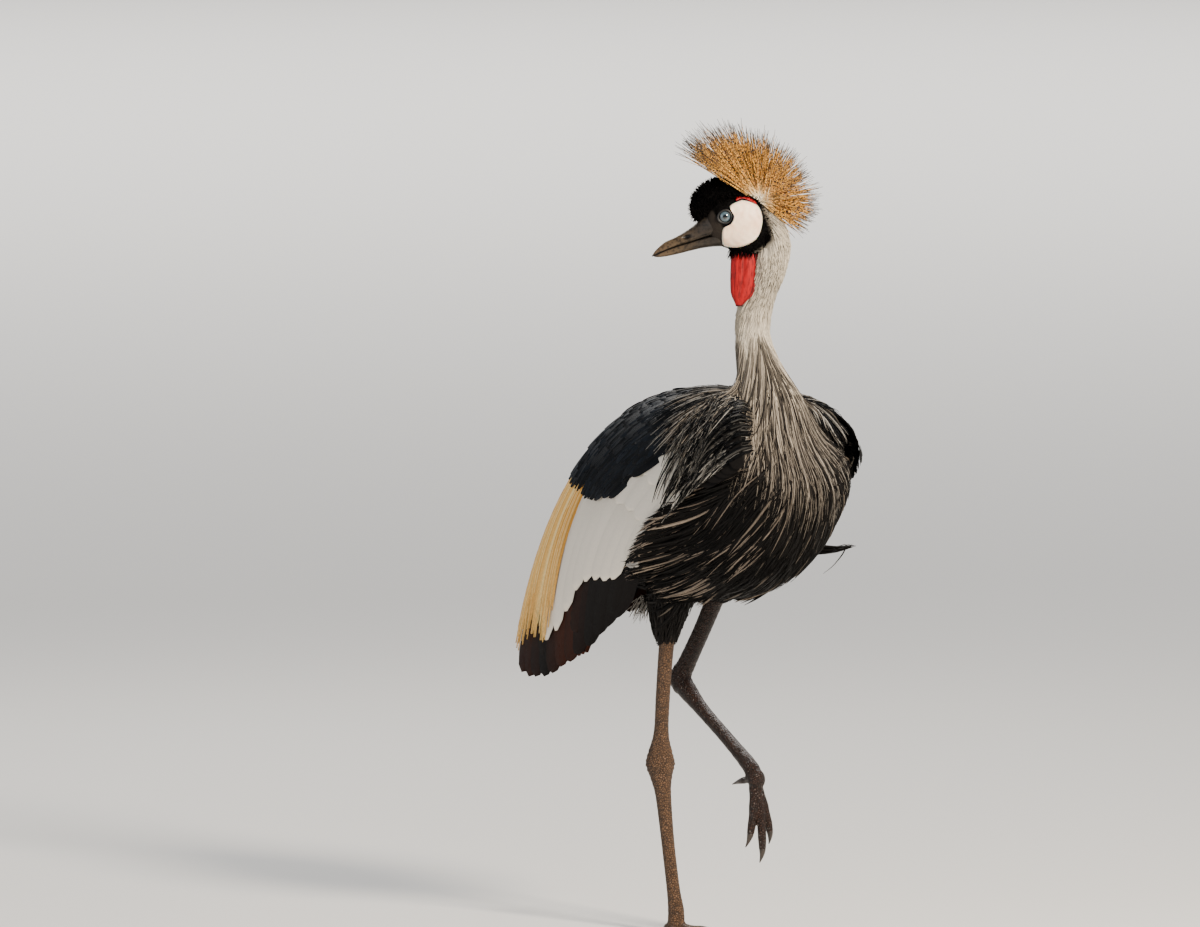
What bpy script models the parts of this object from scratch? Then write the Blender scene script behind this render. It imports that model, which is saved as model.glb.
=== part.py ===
"""Grey crowned crane, a still life-size model: it stands on its right foot with the left one lifted in mid
step, and its head is turned back over its right side. Metres, +Z up, the bird's heading is +X and its left
is +Y."""

import math
import random

import bmesh
import bpy
from mathutils import Matrix, Vector

# Gap that keeps two touching pieces apart, and the growth of a cutter that leaves it
GAP = 0.0003
CLEAR = 0.0004

# Body under the wings, from vent to breast: x, top z, bottom z, half width
BODY = (
    (-0.240, 0.500, 0.474, 0.014),
    (-0.210, 0.528, 0.452, 0.038),
    (-0.150, 0.576, 0.431, 0.064),
    (-0.080, 0.622, 0.416, 0.084),
    (0.000, 0.642, 0.414, 0.096),
    (0.075, 0.650, 0.419, 0.102),
    (0.140, 0.645, 0.436, 0.097),
    (0.190, 0.620, 0.470, 0.085),
    (0.222, 0.588, 0.508, 0.060),
    (0.236, 0.566, 0.534, 0.022),
)
# Height of the widest line, as a share of the body's depth, behind and at the breast
BODY_WIDEST = (0.60, 0.76)
BODY_SEED = 26
# A lock from root to tip: place along it, share of its width, lift off the body
BODY_LOCK = (
    (0.00, 0.45, -0.0030),
    (0.15, 0.80, 0.0032),
    (0.45, 1.00, 0.0050),
    (0.75, 0.85, 0.0060),
    (1.00, 0.12, 0.0064),
)
BODY_LOCK_THICK = 0.0012
BODY_LOCK_TILT = 0.0008
# How far the wing's feathers stand off its sheet, kept free of the body's locks
WING_COVER = 0.0078
# Tiers of the body's locks: colour, count a side, first and last root, first and last tip, bow, width, lift
BODY_TIERS = (
    ("breast", 4, ((0.93, 84), (0.68, 100)), ((0.78, 158), (0.40, 142)), 0.03, 0.034, 0.8),
    ("breast", 3, ((0.975, 24), (0.95, 62)), ((0.935, 156), (0.87, 134)), 0.02, 0.030, 1.0),
    ("breast", 5, ((0.91, 42), (0.67, 54)), ((0.86, 116), (0.44, 110)), 0.04, 0.030, 1.0),
)
# How far the tips of the body's locks stray, in degrees round it and along it
BODY_STRAY = (4.0, 0.012)
BODY_SIDES = 19
BODY_RINGS = 15
BODY_BOX = 0.86

# Neck, from inside the body up into the head: x, y, z, radius
NECK = (
    (0.150, 0.000, 0.588, 0.058),
    (0.145, 0.000, 0.645, 0.046),
    (0.136, 0.000, 0.673, 0.034),
    (0.124, 0.000, 0.697, 0.0265),
    (0.108, 0.001, 0.734, 0.0210),
    (0.105, 0.003, 0.758, 0.0215),
    (0.113, 0.005, 0.786, 0.0205),
    (0.133, 0.008, 0.822, 0.0200),
    (0.139, 0.010, 0.852, 0.0200),
    (0.133, 0.002, 0.873, 0.0190),
    (0.122, -0.014, 0.888, 0.0150),
)
NECK_SIDES = 13
NECK_RINGS = 17
NECK_PART_Z = 0.752
NECK_SEED = 16
# Hackles at the neck's foot: count, turn of the first, start and end along the neck, width, lift at the tip
HACKLES = (
    (7, 0.0, 0.31, 0.12, 0.026, 0.0048),
    (5, 0.5, 0.42, 0.22, 0.024, 0.0038),
)
# A lock on a limb from root to tip: place along it, share of its width, share of its lift or depth of root
LIMB_LOCK = (
    (0.00, 0.45, -0.0022),
    (0.25, 0.80, 0.55),
    (0.65, 1.00, 0.80),
    (1.00, 0.12, 1.00),
)
LIMB_LOCK_THICK = 0.0011
LIMB_LOCK_TILT = 0.0007
# How far a limb's locks stray from even places: as a share of a turn between two, and along the limb
LIMB_STRAY = (0.15, 0.02)

# Head: its own frame has +X along the bill and its origin midway between the eyes
HEAD_PLACE = (0.1048, -0.0387, 0.885)
HEAD_TURN = math.radians(-125)
HEAD_PITCH = math.radians(14)
FACE_X = 0.012
# x, top z, bottom z, half width
SKULL = (
    (-0.053, -0.008, -0.030, 0.008),
    (-0.047, 0.004, -0.042, 0.016),
    (-0.034, 0.017, -0.052, 0.0215),
    (-0.018, 0.026, -0.053, 0.0240),
    (0.000, 0.027, -0.043, 0.0230),
    (FACE_X, 0.020, -0.0355, 0.0195),
)
UPPER_BILL = (
    (FACE_X + GAP, 0.018, -0.0193, 0.0175),
    (0.024, 0.0075, -0.0192, 0.0140),
    (0.036, -0.0008, -0.0196, 0.0108),
    (0.050, -0.0066, -0.0205, 0.0088),
    (0.064, -0.0107, -0.0213, 0.0070),
    (0.078, -0.0136, -0.0227, 0.0054),
    (0.090, -0.0198, -0.0246, 0.0032),
    (0.0968, -0.0254, -0.0262, 0.0009),
)
LOWER_BILL = (
    (FACE_X + GAP, -0.0201, -0.0350, 0.0160),
    (0.022, -0.0199, -0.0330, 0.0124),
    (0.036, -0.0204, -0.0314, 0.0098),
    (0.050, -0.0213, -0.0311, 0.0078),
    (0.064, -0.0221, -0.0312, 0.0062),
    (0.078, -0.0235, -0.0308, 0.0046),
    (0.088, -0.0254, -0.0297, 0.0028),
    (0.0945, -0.0268, -0.0278, 0.0008),
)
NOSTRIL_X = 0.0504
NOSTRIL_Z = -0.0136
NOSTRIL_HALF = (0.0052, 0.0026)
EYE_RADIUS = 0.0088
SOCKET_RADIUS = 0.0098
EYE_OUT = 0.0170
LID_OUT = 0.0224
LID_RING = 0.0082
LID_THICK = 0.0012
LID_DEEP = 0.00192
LID_STEPS = 10

# Velvet cap over the forehead: x, top z, bottom z, half width
CAP = (
    (-0.047, 0.006, -0.002, 0.006),
    (-0.036, 0.020, 0.004, 0.015),
    (-0.020, 0.035, 0.010, 0.0205),
    (-0.005, 0.047, 0.010, 0.0215),
    (0.009, 0.0475, 0.006, 0.0205),
    (0.022, 0.042, 0.000, 0.0175),
    (0.032, 0.033, -0.003, 0.0125),
    (0.0375, 0.022, 0.002, 0.006),
)

# White cheek patch, in the side view of the head, round from its top
CHEEK = (
    (-0.0247, 0.0149),
    (-0.0087, 0.0113),
    (-0.0105, -0.0014),
    (-0.0045, -0.0100),
    (0.0058, -0.0135),
    (0.0106, -0.0278),
    (0.0080, -0.0360),
    (-0.0096, -0.0405),
    (-0.0298, -0.0355),
    (-0.0410, -0.0206),
    (-0.0438, -0.0053),
    (-0.0390, 0.0065),
)
CHEEK_RAISED = 0.0026

# Golden crest: a knob behind the cap, and the fan that stands on it
CREST_PLACE = (-0.046, 0.0, 0.008)
CREST_KNOB = 0.0095
CREST_MIDDLE = math.radians(141)
CREST_HALF = math.radians(92)
CREST_SIDE = math.radians(36)
# Half sizes of the crest's core: fore and aft, across, and up
CREST_CORE = (0.027, 0.01674, 0.027)
# Loss of length at the sides, spread of the lengths, and bow
CREST_SIDE_LOSS = 0.12
CREST_SPREAD = 0.14
CREST_BOW = 0.05
CREST_STRAY = (0.3, 0.2)
CREST_ROWS = (16, 5)
CREST_SEED = 3
CREST_PARTING = math.radians(176)
CREST_PARTING_HALF = math.radians(2.5)
# A bristle from root to tip: place along it and radius
BRISTLE = ((0.0, 0.0014), (0.55, 0.0016), (1.0, 0.0004))
# Feather lengths from the front of the fan to its back
CREST_LONG = (0.120, 0.113, 0.090, 0.078, 0.073, 0.068, 0.073, 0.072, 0.069)

# Red throat pouch: how far down it hangs, and its fore-and-aft and side half widths there
POUCH_TOP = (-0.014, -0.040)
POUCH_LONG = 0.074
POUCH = (
    (0.0130, 0.0090),
    (0.0170, 0.0104),
    (0.0174, 0.0102),
    (0.0160, 0.0092),
    (0.0118, 0.0070),
    (0.0034, 0.0026),
)
# Forward bow of the pouch, and height and number of its folds
POUCH_BOW = 0.004
POUCH_FOLD = 0.07
POUCH_FOLDS = 8

# Folded wing as a curved sheet over the right side, y outwards: rows run from the shoulder to the tips, and
# go from the front lower edge up to the ridge of the back
WING = (
    ((0.206, 0.084, 0.604), (0.130, 0.126, 0.560), (0.045, 0.124, 0.490), (-0.030, 0.085, 0.405)),
    ((0.190, 0.084, 0.653), (0.070, 0.134, 0.615), (-0.055, 0.126, 0.500), (-0.140, 0.072, 0.350)),
    ((0.125, 0.036, 0.672), (-0.030, 0.098, 0.668), (-0.190, 0.104, 0.560), (-0.245, 0.056, 0.305)),
    ((0.080, 0.0022, 0.664), (-0.110, 0.0024, 0.674), (-0.308, 0.012, 0.596), (-0.340, 0.034, 0.285)),
)
# How much higher and closer the left wing's tips are held
LEFT_TUCK = 0.050
LEFT_CLOSE = 0.25
# Depth of the slab's inner face below the sheet, at its end and at the shoulder
SLAB_THICK = (0.0095, 0.022)
SLAB_REACH = 0.60
SLAB_DROP = -0.0060
FIRST_ROW = 0.09
LEFT_SHORT = 0.05
WING_SEED = 7
ROW_DRIFT = -0.02
# Places along the wing where its sheet and all its vanes bend together, so that they lie free of one another
WING_BENDS = (0.0, 0.12, 0.24, 0.36, 0.48, 0.60, 0.74, 0.87)
WING_ACROSS = 6
VANE_ROOT = -0.0095
VANE_THICK = 0.0006
VANE_TILT = 0.0012
TIP_ROUND = 0.035
# How near a vane's root and tip a common bend may lie, and the width of a blunt and a pointed tip
VANE_FREE = (0.05, 0.07)
TIP_WIDE = (0.50, 0.25)
WING_STRAY = 0.012
# Tiers of a wing: colour, count, first and last row, start and end along it, width, lift at root and at tip
WING_TIERS = (
    ("chestnut", 8, 0.15, 0.92, 0.50, 1.0, 0.046, 0.0002, 0.0024),
    ("white", 6, 0.16, 0.80, 0.37, 0.80, 0.052, 0.0004, 0.0062),
    ("white", 2, 0.18, 0.33, 0.17, 0.56, 0.050, 0.0010, 0.0070),
    ("gold", 4, 0.79, 0.955, 0.42, 0.93, 0.020, 0.0046, 0.0062),
    ("slate", 4, 0.48, 0.90, 0.24, 0.48, 0.056, 0.0010, 0.0068),
    ("slate", 4, 0.38, 0.89, 0.12, 0.34, 0.054, 0.0010, 0.0068),
    ("slate", 3, 0.38, 0.84, 0.01, 0.21, 0.056, 0.0010, 0.0064),
)

# Tail: root at the vent, and the line of its tips
TAIL_ROOT = (-0.2405, 0.0, 0.487)
TAIL_TIP = (-0.288, 0.0, 0.312)
TAIL_HALF = (0.010, 0.028)
TAIL_BLOCK = 0.050
TAIL_VANES = 7
TAIL_VANE = ((0.0, 0.6), (0.35, 0.9), (0.8, 1.0), (1.0, 0.35))
TAIL_WIDE = 0.022
TAIL_STEP = 0.0014
TAIL_THICK = 0.0009
# Thickness of the root block, half, at its root and its end
TAIL_DEEP = (0.0085, 0.0045)
# How far the vanes sink at their roots and bow outwards, and how much shorter the outer ones are
TAIL_SINK = 0.001
TAIL_BOW = 0.006
TAIL_ROUND = 0.012

# Legs: x, y, z, radius
RIGHT_THIGH = (
    (0.020, -0.046, 0.470, 0.040),
    (0.008, -0.046, 0.425, 0.034),
    (-0.003, -0.045, 0.388, 0.0255),
    (-0.010, -0.044, 0.350, 0.0145),
)
RIGHT_SHIN = (
    (-0.010, -0.044, 0.350, 0.0092),
    (-0.022, -0.040, 0.295, 0.0088),
    (-0.034, -0.034, 0.248, 0.0092),
    (-0.040, -0.031, 0.222, 0.0150),
    (-0.0415, -0.030, 0.208, 0.0175),
)
RIGHT_TARSUS = (
    (-0.0415, -0.030, 0.208, 0.0175),
    (-0.0405, -0.0290, 0.190, 0.0130),
    (-0.0385, -0.0275, 0.168, 0.0096),
    (-0.0350, -0.0230, 0.110, 0.0080),
    (-0.0310, -0.0180, 0.055, 0.0082),
    (-0.0290, -0.0155, 0.030, 0.0098),
)
RIGHT_FOOT = (-0.029, -0.015, 0.0)
RIGHT_FOOT_TURN = math.radians(-4)

LEFT_THIGH = (
    (0.020, 0.046, 0.470, 0.036),
    (0.000, 0.045, 0.440, 0.027),
    (-0.025, 0.042, 0.412, 0.0150),
)
LEFT_SHIN = (
    (-0.025, 0.042, 0.412, 0.0118),
    (-0.048, 0.0380, 0.370, 0.0105),
    (-0.074, 0.0330, 0.326, 0.0112),
    (-0.085, 0.0305, 0.306, 0.0135),
)
LEFT_TARSUS = (
    (-0.085, 0.0305, 0.306, 0.0135),
    (-0.068, 0.0295, 0.2925, 0.0118),
    (-0.032, 0.0270, 0.2710, 0.0086),
    (0.028, 0.0235, 0.2390, 0.0082),
    (0.078, 0.0205, 0.2100, 0.0098),
)
LEFT_ANKLE_FACE = (0.27, -0.10, -0.96)
LEFT_TARSUS_END = (1.0, -0.05, -0.60)
# Tufts of a thigh: count, turn of the first, start and end along it, width, lift at the tip
THIGH_LOCKS = ((5, 0.25, 0.45, 0.96, 0.018, 0.0034),)
LEFT_FOOT = (0.0795, 0.0200, 0.1945)
LEFT_FOOT_HANG = math.radians(68)
LEFT_FOOT_CURL = math.radians(22)
LEG_SIDES = 9
DOWN = (0.0, 0.0, -1.0)
UP = Vector((0.0, 0.0, 1.0))

# Toes: name, spread from the middle toe, length, root radius, tip radius
TOES = (
    ("inner", math.radians(37), 0.066, 0.0066, 0.0044),
    ("middle", 0.0, 0.086, 0.0070, 0.0044),
    ("outer", math.radians(-37), 0.068, 0.0066, 0.0044),
    ("hind", math.radians(168), 0.034, 0.0052, 0.0038),
)
TOE_SIDES = 7
TOE_STEPS = 5
TOE_PADS = 0.08
# Height of a resting toe's middle, as a share of its radius, so that its lowest face lies on the floor
SOLE = 0.88
# The hind toe leaves the foot higher up, and points down by these degrees on the standing and lifted foot
HIND_HEIGHT = 0.011
HIND_BEND = (10, 75)
HIND_CURL = 0.3
LIFTED_SPREAD = 0.35
PAD_HEIGHT = 0.0100
PAD_HALF = (0.0135, 0.0115, 0.0105)
CLAW_LONG = 0.014
CLAW_ROOT = 0.80
CLAW_TIP = 0.0006
CLAW_STEPS = 3
LIFTED_CLAW_DROP = 0.006

SKIN_GREY = (0.10, 0.09, 0.08)
FEATHER_GREY = (0.47, 0.44, 0.40)
SLATE = (0.03, 0.035, 0.045)
DARK_BREAST = (0.10, 0.09, 0.085)
WHITE = (0.80, 0.78, 0.73)
GOLD = (0.75, 0.47, 0.12)
CHESTNUT = (0.08, 0.02, 0.008)
BLACK = (0.006, 0.006, 0.006)
RED = (0.74, 0.04, 0.05)
CHEEK_WHITE = (0.87, 0.76, 0.70)
IRIS = (0.28, 0.42, 0.48)
LEG_BROWN = (0.24, 0.16, 0.11)
CLAW_DARK = (0.03, 0.025, 0.02)


def clear_scene():
    for thing in list(bpy.data.objects):
        bpy.data.objects.remove(thing)


def paint(name, rgb, roughness, metallic=0.0):
    """A Principled material of one colour."""
    made = bpy.data.materials.new(name)
    made.use_nodes = True
    shader = made.node_tree.nodes["Principled BSDF"]
    shader.inputs["Base Color"].default_value = (*rgb, 1.0)
    shader.inputs["Roughness"].default_value = roughness
    shader.inputs["Metallic"].default_value = metallic
    return made


def through(stations, t):
    """The smooth curve through the stations, at t from 0 to 1, as a list of numbers."""
    last = len(stations) - 1
    spot = min(max(t, 0.0), 1.0) * last
    i = min(int(spot), last - 1)
    f = spot - i
    a = stations[max(i - 1, 0)]
    b = stations[i]
    c = stations[i + 1]
    d = stations[min(i + 2, last)]
    return [
        q + 0.5 * f * (r - p + f * (2 * p - 5 * q + 4 * r - s + f * (3 * (q - r) + s - p)))
        for p, q, r, s in zip(a, b, c, d)
    ]


def solid(name, rings, look):
    """A closed solid through rings of equal count. Every quad is split the same way, so that a copy moved
    along its normals keeps an even distance."""
    count = len(rings[0])
    points = [tuple(point) for ring in rings for point in ring]
    faces = []
    for i in range(len(rings) - 1):
        for j in range(count):
            k = (j + 1) % count
            near, far = i * count, (i + 1) * count
            faces.append((near + j, near + k, far + k))
            faces.append((near + j, far + k, far + j))
    first, last = len(points), len(points) + 1
    points.append(tuple(sum((Vector(p) for p in rings[0]), Vector()) / count))
    points.append(tuple(sum((Vector(p) for p in rings[-1]), Vector()) / count))
    end = (len(rings) - 1) * count
    for j in range(count):
        k = (j + 1) % count
        faces.append((first, k, j))
        faces.append((last, end + j, end + k))
    return body_of(name, points, faces, look)


def strip(name, rings, look):
    """A feather or lock: a closed strip through rings of three or four points, split into triangles alike
    on all its faces."""
    sides = len(rings[0])
    points = [point for ring in rings for point in ring]
    faces = []
    for i in range(len(rings) - 1):
        a, b = i * sides, (i + 1) * sides
        for j in range(sides):
            k = (j + 1) % sides
            turned = j % 2 == 1 and sides == 4
            if turned:
                faces += [(a + j, a + k, b + j), (a + k, b + k, b + j)]
            else:
                faces += [(a + j, a + k, b + k), (a + j, b + k, b + j)]
    end = len(points) - sides
    for j in range(1, sides - 1):
        faces += [(0, j + 1, j), (end, end + j, end + j + 1)]
    return body_of(name, points, faces, look)


def hoop(name, rings, look):
    """A closed ring-shaped body through rings of points that run round in a circle."""
    sides = len(rings[0])
    points = [point for ring in rings for point in ring]
    faces = []
    for i in range(len(rings)):
        a, b = i * sides, (i + 1) % len(rings) * sides
        for j in range(sides):
            k = (j + 1) % sides
            faces += [(a + j, a + k, b + k), (a + j, b + k, b + j)]
    return body_of(name, points, faces, look)


def lock(name, path, outs, widths, thick, look, tilt=0.0):
    """A tapered lock along a path of points: flat below, with a low ridge towards outs. Tilt lifts one
    edge."""
    rings = []
    for i, point in enumerate(path):
        along = path[min(i + 1, len(path) - 1)] - path[max(i - 1, 0)]
        across = outs[i].cross(along).normalized() * (widths[i] / 2)
        lean = outs[i] * tilt
        rings.append([point - across - lean, point + across + lean, point + outs[i] * thick])
    return strip(name, rings, look)


def body_of(name, points, faces, look):
    mesh = bpy.data.meshes.new(name)
    mesh.from_pydata(points, [], faces)
    mesh.materials.append(look)
    form = bmesh.new()
    form.from_mesh(mesh)
    bmesh.ops.recalc_face_normals(form, faces=form.faces)
    if form.calc_volume(signed=True) < 0:
        bmesh.ops.reverse_faces(form, faces=form.faces)
    form.to_mesh(mesh)
    form.free()
    made = bpy.data.objects.new(name, mesh)
    bpy.context.scene.collection.objects.link(made)
    return made


def grown(source, by):
    """A copy with every face moved outwards, used as a cutter."""
    form = bmesh.new()
    form.from_mesh(source.data)
    bmesh.ops.recalc_face_normals(form, faces=form.faces)
    form.normal_update()
    moves = []
    for corner in form.verts:
        flattest = min(corner.normal.dot(face.normal) for face in corner.link_faces)
        moves.append(corner.normal * (by / max(flattest, 0.5)))
    for corner, move in zip(form.verts, moves):
        corner.co += move
    mesh = bpy.data.meshes.new(source.name + "_grown")
    form.to_mesh(mesh)
    form.free()
    cutter = bpy.data.objects.new(mesh.name, mesh)
    bpy.context.scene.collection.objects.link(cutter)
    cutter.hide_render = True
    cutter.display_type = "WIRE"
    return cutter


def take_result(thing):
    """Applies the modifiers of an object and drops them."""
    graph = bpy.context.evaluated_depsgraph_get()
    mesh = bpy.data.meshes.new_from_object(thing.evaluated_get(graph))
    thing.modifiers.clear()
    thing.data = mesh


def cut(thing, cutter, operation="DIFFERENCE", solver="EXACT"):
    """Takes a cutter from an object, or keeps what lies inside it, and drops the cutter."""
    change = thing.modifiers.new("Cut", "BOOLEAN")
    change.operation = operation
    change.solver = solver
    change.object = cutter
    take_result(thing)
    bpy.data.objects.remove(cutter)
    keep_largest(thing)


def keep_largest(thing):
    """Keeps the closed surface that holds the most, and drops loose scraps and sealed hollows."""
    form = bmesh.new()
    form.from_mesh(thing.data)
    form.verts.ensure_lookup_table()
    unseen = set(form.verts)
    shells = []
    while unseen:
        shell = {unseen.pop()}
        edge = list(shell)
        while edge:
            for link in edge.pop().link_edges:
                for corner in link.verts:
                    if corner in unseen:
                        unseen.discard(corner)
                        shell.add(corner)
                        edge.append(corner)
        shells.append(shell)
    if len(shells) > 1:
        def reach(shell):
            spots = [corner.co for corner in shell]
            return sum(max(p[i] for p in spots) - min(p[i] for p in spots) for i in range(3))

        shells.sort(key=reach)
        loose = [corner for shell in shells[:-1] for corner in shell]
        bmesh.ops.delete(form, geom=loose, context="VERTS")
    form.to_mesh(thing.data)
    form.free()


def fuse(thing, pieces):
    """Joins closed pieces to an object with one union. MANIFOLD, because many thin pieces are slow with
    EXACT."""
    group = bpy.data.collections.new(thing.name + "_pieces")
    bpy.context.scene.collection.children.link(group)
    for piece in pieces:
        bpy.context.scene.collection.objects.unlink(piece)
        group.objects.link(piece)
    join = thing.modifiers.new("Join", "BOOLEAN")
    join.operation = "UNION"
    join.operand_type = "COLLECTION"
    join.collection = group
    join.solver = "MANIFOLD"
    take_result(thing)
    for piece in list(group.objects):
        bpy.data.objects.remove(piece)
    bpy.data.collections.remove(group)
    keep_largest(thing)


def section(x, top, bottom, half, sides, boxy=1.0, place=Matrix()):
    """An egg-shaped ring in a plane of constant x."""
    middle = (top + bottom) / 2
    ring = []
    for j in range(sides):
        turn = math.tau * j / sides
        c, s = math.cos(turn), math.sin(turn)
        y = half * math.copysign(abs(s) ** boxy, s)
        z = middle + (top - middle) * math.copysign(abs(c) ** boxy, c)
        ring.append(place @ Vector((x, y, z)))
    return ring


def tube_ring(middle, along, radius, sides, flat=1.0, side=None):
    """A ring round a path. Flat squeezes it along the side vector."""
    along = along.normalized()
    across = side or Vector((0.0, 1.0, 0.0))
    across = (across - along * across.dot(along)).normalized()
    other = along.cross(across)
    ring = []
    for j in range(sides):
        turn = math.tau * j / sides
        ring.append(middle + across * (radius * flat * math.cos(turn)) + other * (radius * math.sin(turn)))
    return ring


def limb(name, stations, rings, sides, look, ends=None):
    """A round limb through stations of x, y, z and radius. Ends gives the directions of its end faces, and
    the first face stands off the piece before it by the gap."""
    spots = [through(stations, i / (rings - 1)) for i in range(rings)]
    path = [Vector(spot[:3]) for spot in spots]
    if ends:
        path[0] += Vector(ends[0]).normalized() * GAP
    made = []
    for i, spot in enumerate(spots):
        along = (path[min(i + 1, rings - 1)] - path[max(i - 1, 0)]).normalized()
        if ends:
            near_first = max(1.0 - i / 3, 0.0)
            near_last = max(1.0 - (rings - 1 - i) / 3, 0.0)
            along = along.lerp(Vector(ends[0]).normalized(), near_first)
            along = along.lerp(Vector(ends[1]).normalized(), near_last)
        made.append(tube_ring(path[i], along, spot[3], sides))
    return solid(name, made, look)


def limb_locks(thing, stations, tiers, draw, look):
    """Joins tiers of locks to a round limb. A tier is its count, turn of the first, start and end along the
    limb, width and lift at the tip."""
    locks = []
    for count, first, start, end, width, rise in tiers:
        for i in range(count):
            turn = math.tau * (i + first + draw.uniform(-LIMB_STRAY[0], LIMB_STRAY[0])) / count
            path, outs, widths = [], [], []
            shift = draw.uniform(-LIMB_STRAY[1], LIMB_STRAY[1])
            for t, wide, lift in LIMB_LOCK:
                place = min(max(start + (end + shift - start) * t, 0.0), 1.0)
                spot = through(stations, place)
                before = through(stations, max(place - 0.02, 0.0))
                after = through(stations, min(place + 0.02, 1.0))
                along = (Vector(after[:3]) - Vector(before[:3])).normalized()
                ahead = (Vector((1.0, 0.0, 0.0)) - along * along.x).normalized()
                out = ahead * math.cos(turn) + along.cross(ahead) * math.sin(turn)
                path.append(Vector(spot[:3]) + out * (spot[3] + (lift * rise if lift > 0 else lift)))
                outs.append(out)
                widths.append(width * wide)
            locks.append(lock("lock", path, outs, widths, LIMB_LOCK_THICK, look, LIMB_LOCK_TILT))
    fuse(thing, locks)


def slab_box(name, low, high):
    """A box cutter between two corners."""
    made = bmesh.new()
    bmesh.ops.create_cube(made, size=1.0)
    for corner in made.verts:
        for i in range(3):
            corner.co[i] = low[i] if corner.co[i] < 0 else high[i]
    mesh = bpy.data.meshes.new(name)
    made.to_mesh(mesh)
    made.free()
    box = bpy.data.objects.new(name, mesh)
    bpy.context.scene.collection.objects.link(box)
    box.hide_render = True
    box.display_type = "WIRE"
    return box


def widest_share(s):
    return BODY_WIDEST[0] + (BODY_WIDEST[1] - BODY_WIDEST[0]) * max(s - 0.6, 0.0) / 0.4


def body_point(s, turn):
    """A point on the body: s from vent to breast, turn from the ridge of the back, left side positive."""
    x, top, bottom, half = through(BODY, s)
    middle = bottom + widest_share(s) * (top - bottom)
    c, n = math.cos(turn), math.sin(turn)
    y = half * math.copysign(abs(n) ** BODY_BOX, n)
    z = middle + (top - middle if c > 0 else middle - bottom) * math.copysign(abs(c) ** BODY_BOX, c)
    return Vector((x, y, z))


def make_torso(look):
    rings = []
    for i in range(BODY_RINGS):
        s = i / (BODY_RINGS - 1)
        rings.append([body_point(s, math.tau * j / BODY_SIDES) for j in range(BODY_SIDES)])
    return solid("torso", rings, look)


def body_out(s, turn):
    """The outward direction of the body's surface."""
    step = 0.01
    a = body_point(min(s + step, 1.0), turn) - body_point(max(s - step, 0.0), turn)
    b = body_point(s, turn + step) - body_point(s, turn - step)
    out = a.cross(b).normalized()
    return out if out.dot(body_point(s, turn) - Vector((body_point(s, 0.0).x, 0.0, 0.53))) > 0 else -out


def body_lock(side, root, tip, sag, width, rise, look):
    """A lock on the body from root to tip, both given as place along the body and turn from its ridge.
    Sag bows its course, and it rises off the body towards its tip."""
    path, outs, widths = [], [], []
    for t, wide, lift in BODY_LOCK:
        s = root[0] + (tip[0] - root[0]) * t + sag * math.sin(math.pi * t)
        turn = side * math.radians(root[1] + (tip[1] - root[1]) * t)
        out = body_out(s, turn)
        path.append(body_point(s, turn) + out * (lift * rise if lift > 0 else lift))
        outs.append(out)
        widths.append(width * wide)
    return lock("lock", path, outs, widths, BODY_LOCK_THICK, look, BODY_LOCK_TILT)


def add_body_locks(torso, looks):
    """Long plumes that hang from the neck's foot over the breast and sweep back along the flanks."""
    draw = random.Random(BODY_SEED)
    locks = []
    for colour, count, roots, tips, sag, width, rise in BODY_TIERS:
        for side in (-1, 1):
            for i in range(count):
                f = i / (count - 1)
                root = [a + (b - a) * f for a, b in zip(roots[0], roots[1])]
                tip = [a + (b - a) * f for a, b in zip(tips[0], tips[1])]
                tip[1] += draw.uniform(-BODY_STRAY[0], BODY_STRAY[0])
                tip[0] += draw.uniform(-BODY_STRAY[1], BODY_STRAY[1])
                locks.append(body_lock(side, root, tip, sag, width, rise, looks[colour]))
    fuse(torso, locks)
    for name in ("neck_lower", "thigh_left", "thigh_right", "tail"):
        cut(torso, grown(bpy.data.objects[name], CLEAR), solver="MANIFOLD")
    for side in (-1, 1):
        cover = wing_slab("cover", side, 1.0, WING_COVER, looks["slate"])
        cut(torso, grown(cover, CLEAR), solver="MANIFOLD")
        bpy.data.objects.remove(cover)


def make_neck(torso, head, look):
    """The lower and upper lengths of the neck, parted by a level cut, on the body and into the head."""
    lower = limb("neck_lower", NECK, NECK_RINGS, NECK_SIDES, look)
    cut(lower, slab_box("above", (-1, -1, NECK_PART_Z - GAP / 2), (1, 1, 2)))
    limb_locks(lower, NECK, HACKLES, random.Random(NECK_SEED), look)
    cut(lower, grown(torso, CLEAR), solver="MANIFOLD")
    upper = limb("neck_upper", NECK, NECK_RINGS, NECK_SIDES, look)
    cut(upper, slab_box("below", (-1, -1, -1), (1, 1, NECK_PART_Z + GAP / 2)))
    cut(upper, grown(head, CLEAR))
    return lower, upper


def head_frame():
    turn = Matrix.Rotation(HEAD_TURN, 4, "Z")
    pitch = Matrix.Rotation(HEAD_PITCH, 4, "Y")
    return Matrix.Translation(HEAD_PLACE) @ turn @ pitch


def head_loft(name, stations, rings, sides, look, boxy=1.0):
    place = head_frame()
    made = []
    for i in range(rings):
        x, top, bottom, half = through(stations, i / (rings - 1))
        made.append(section(x, top, bottom, half, sides, boxy, place))
    return solid(name, made, look)


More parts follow.
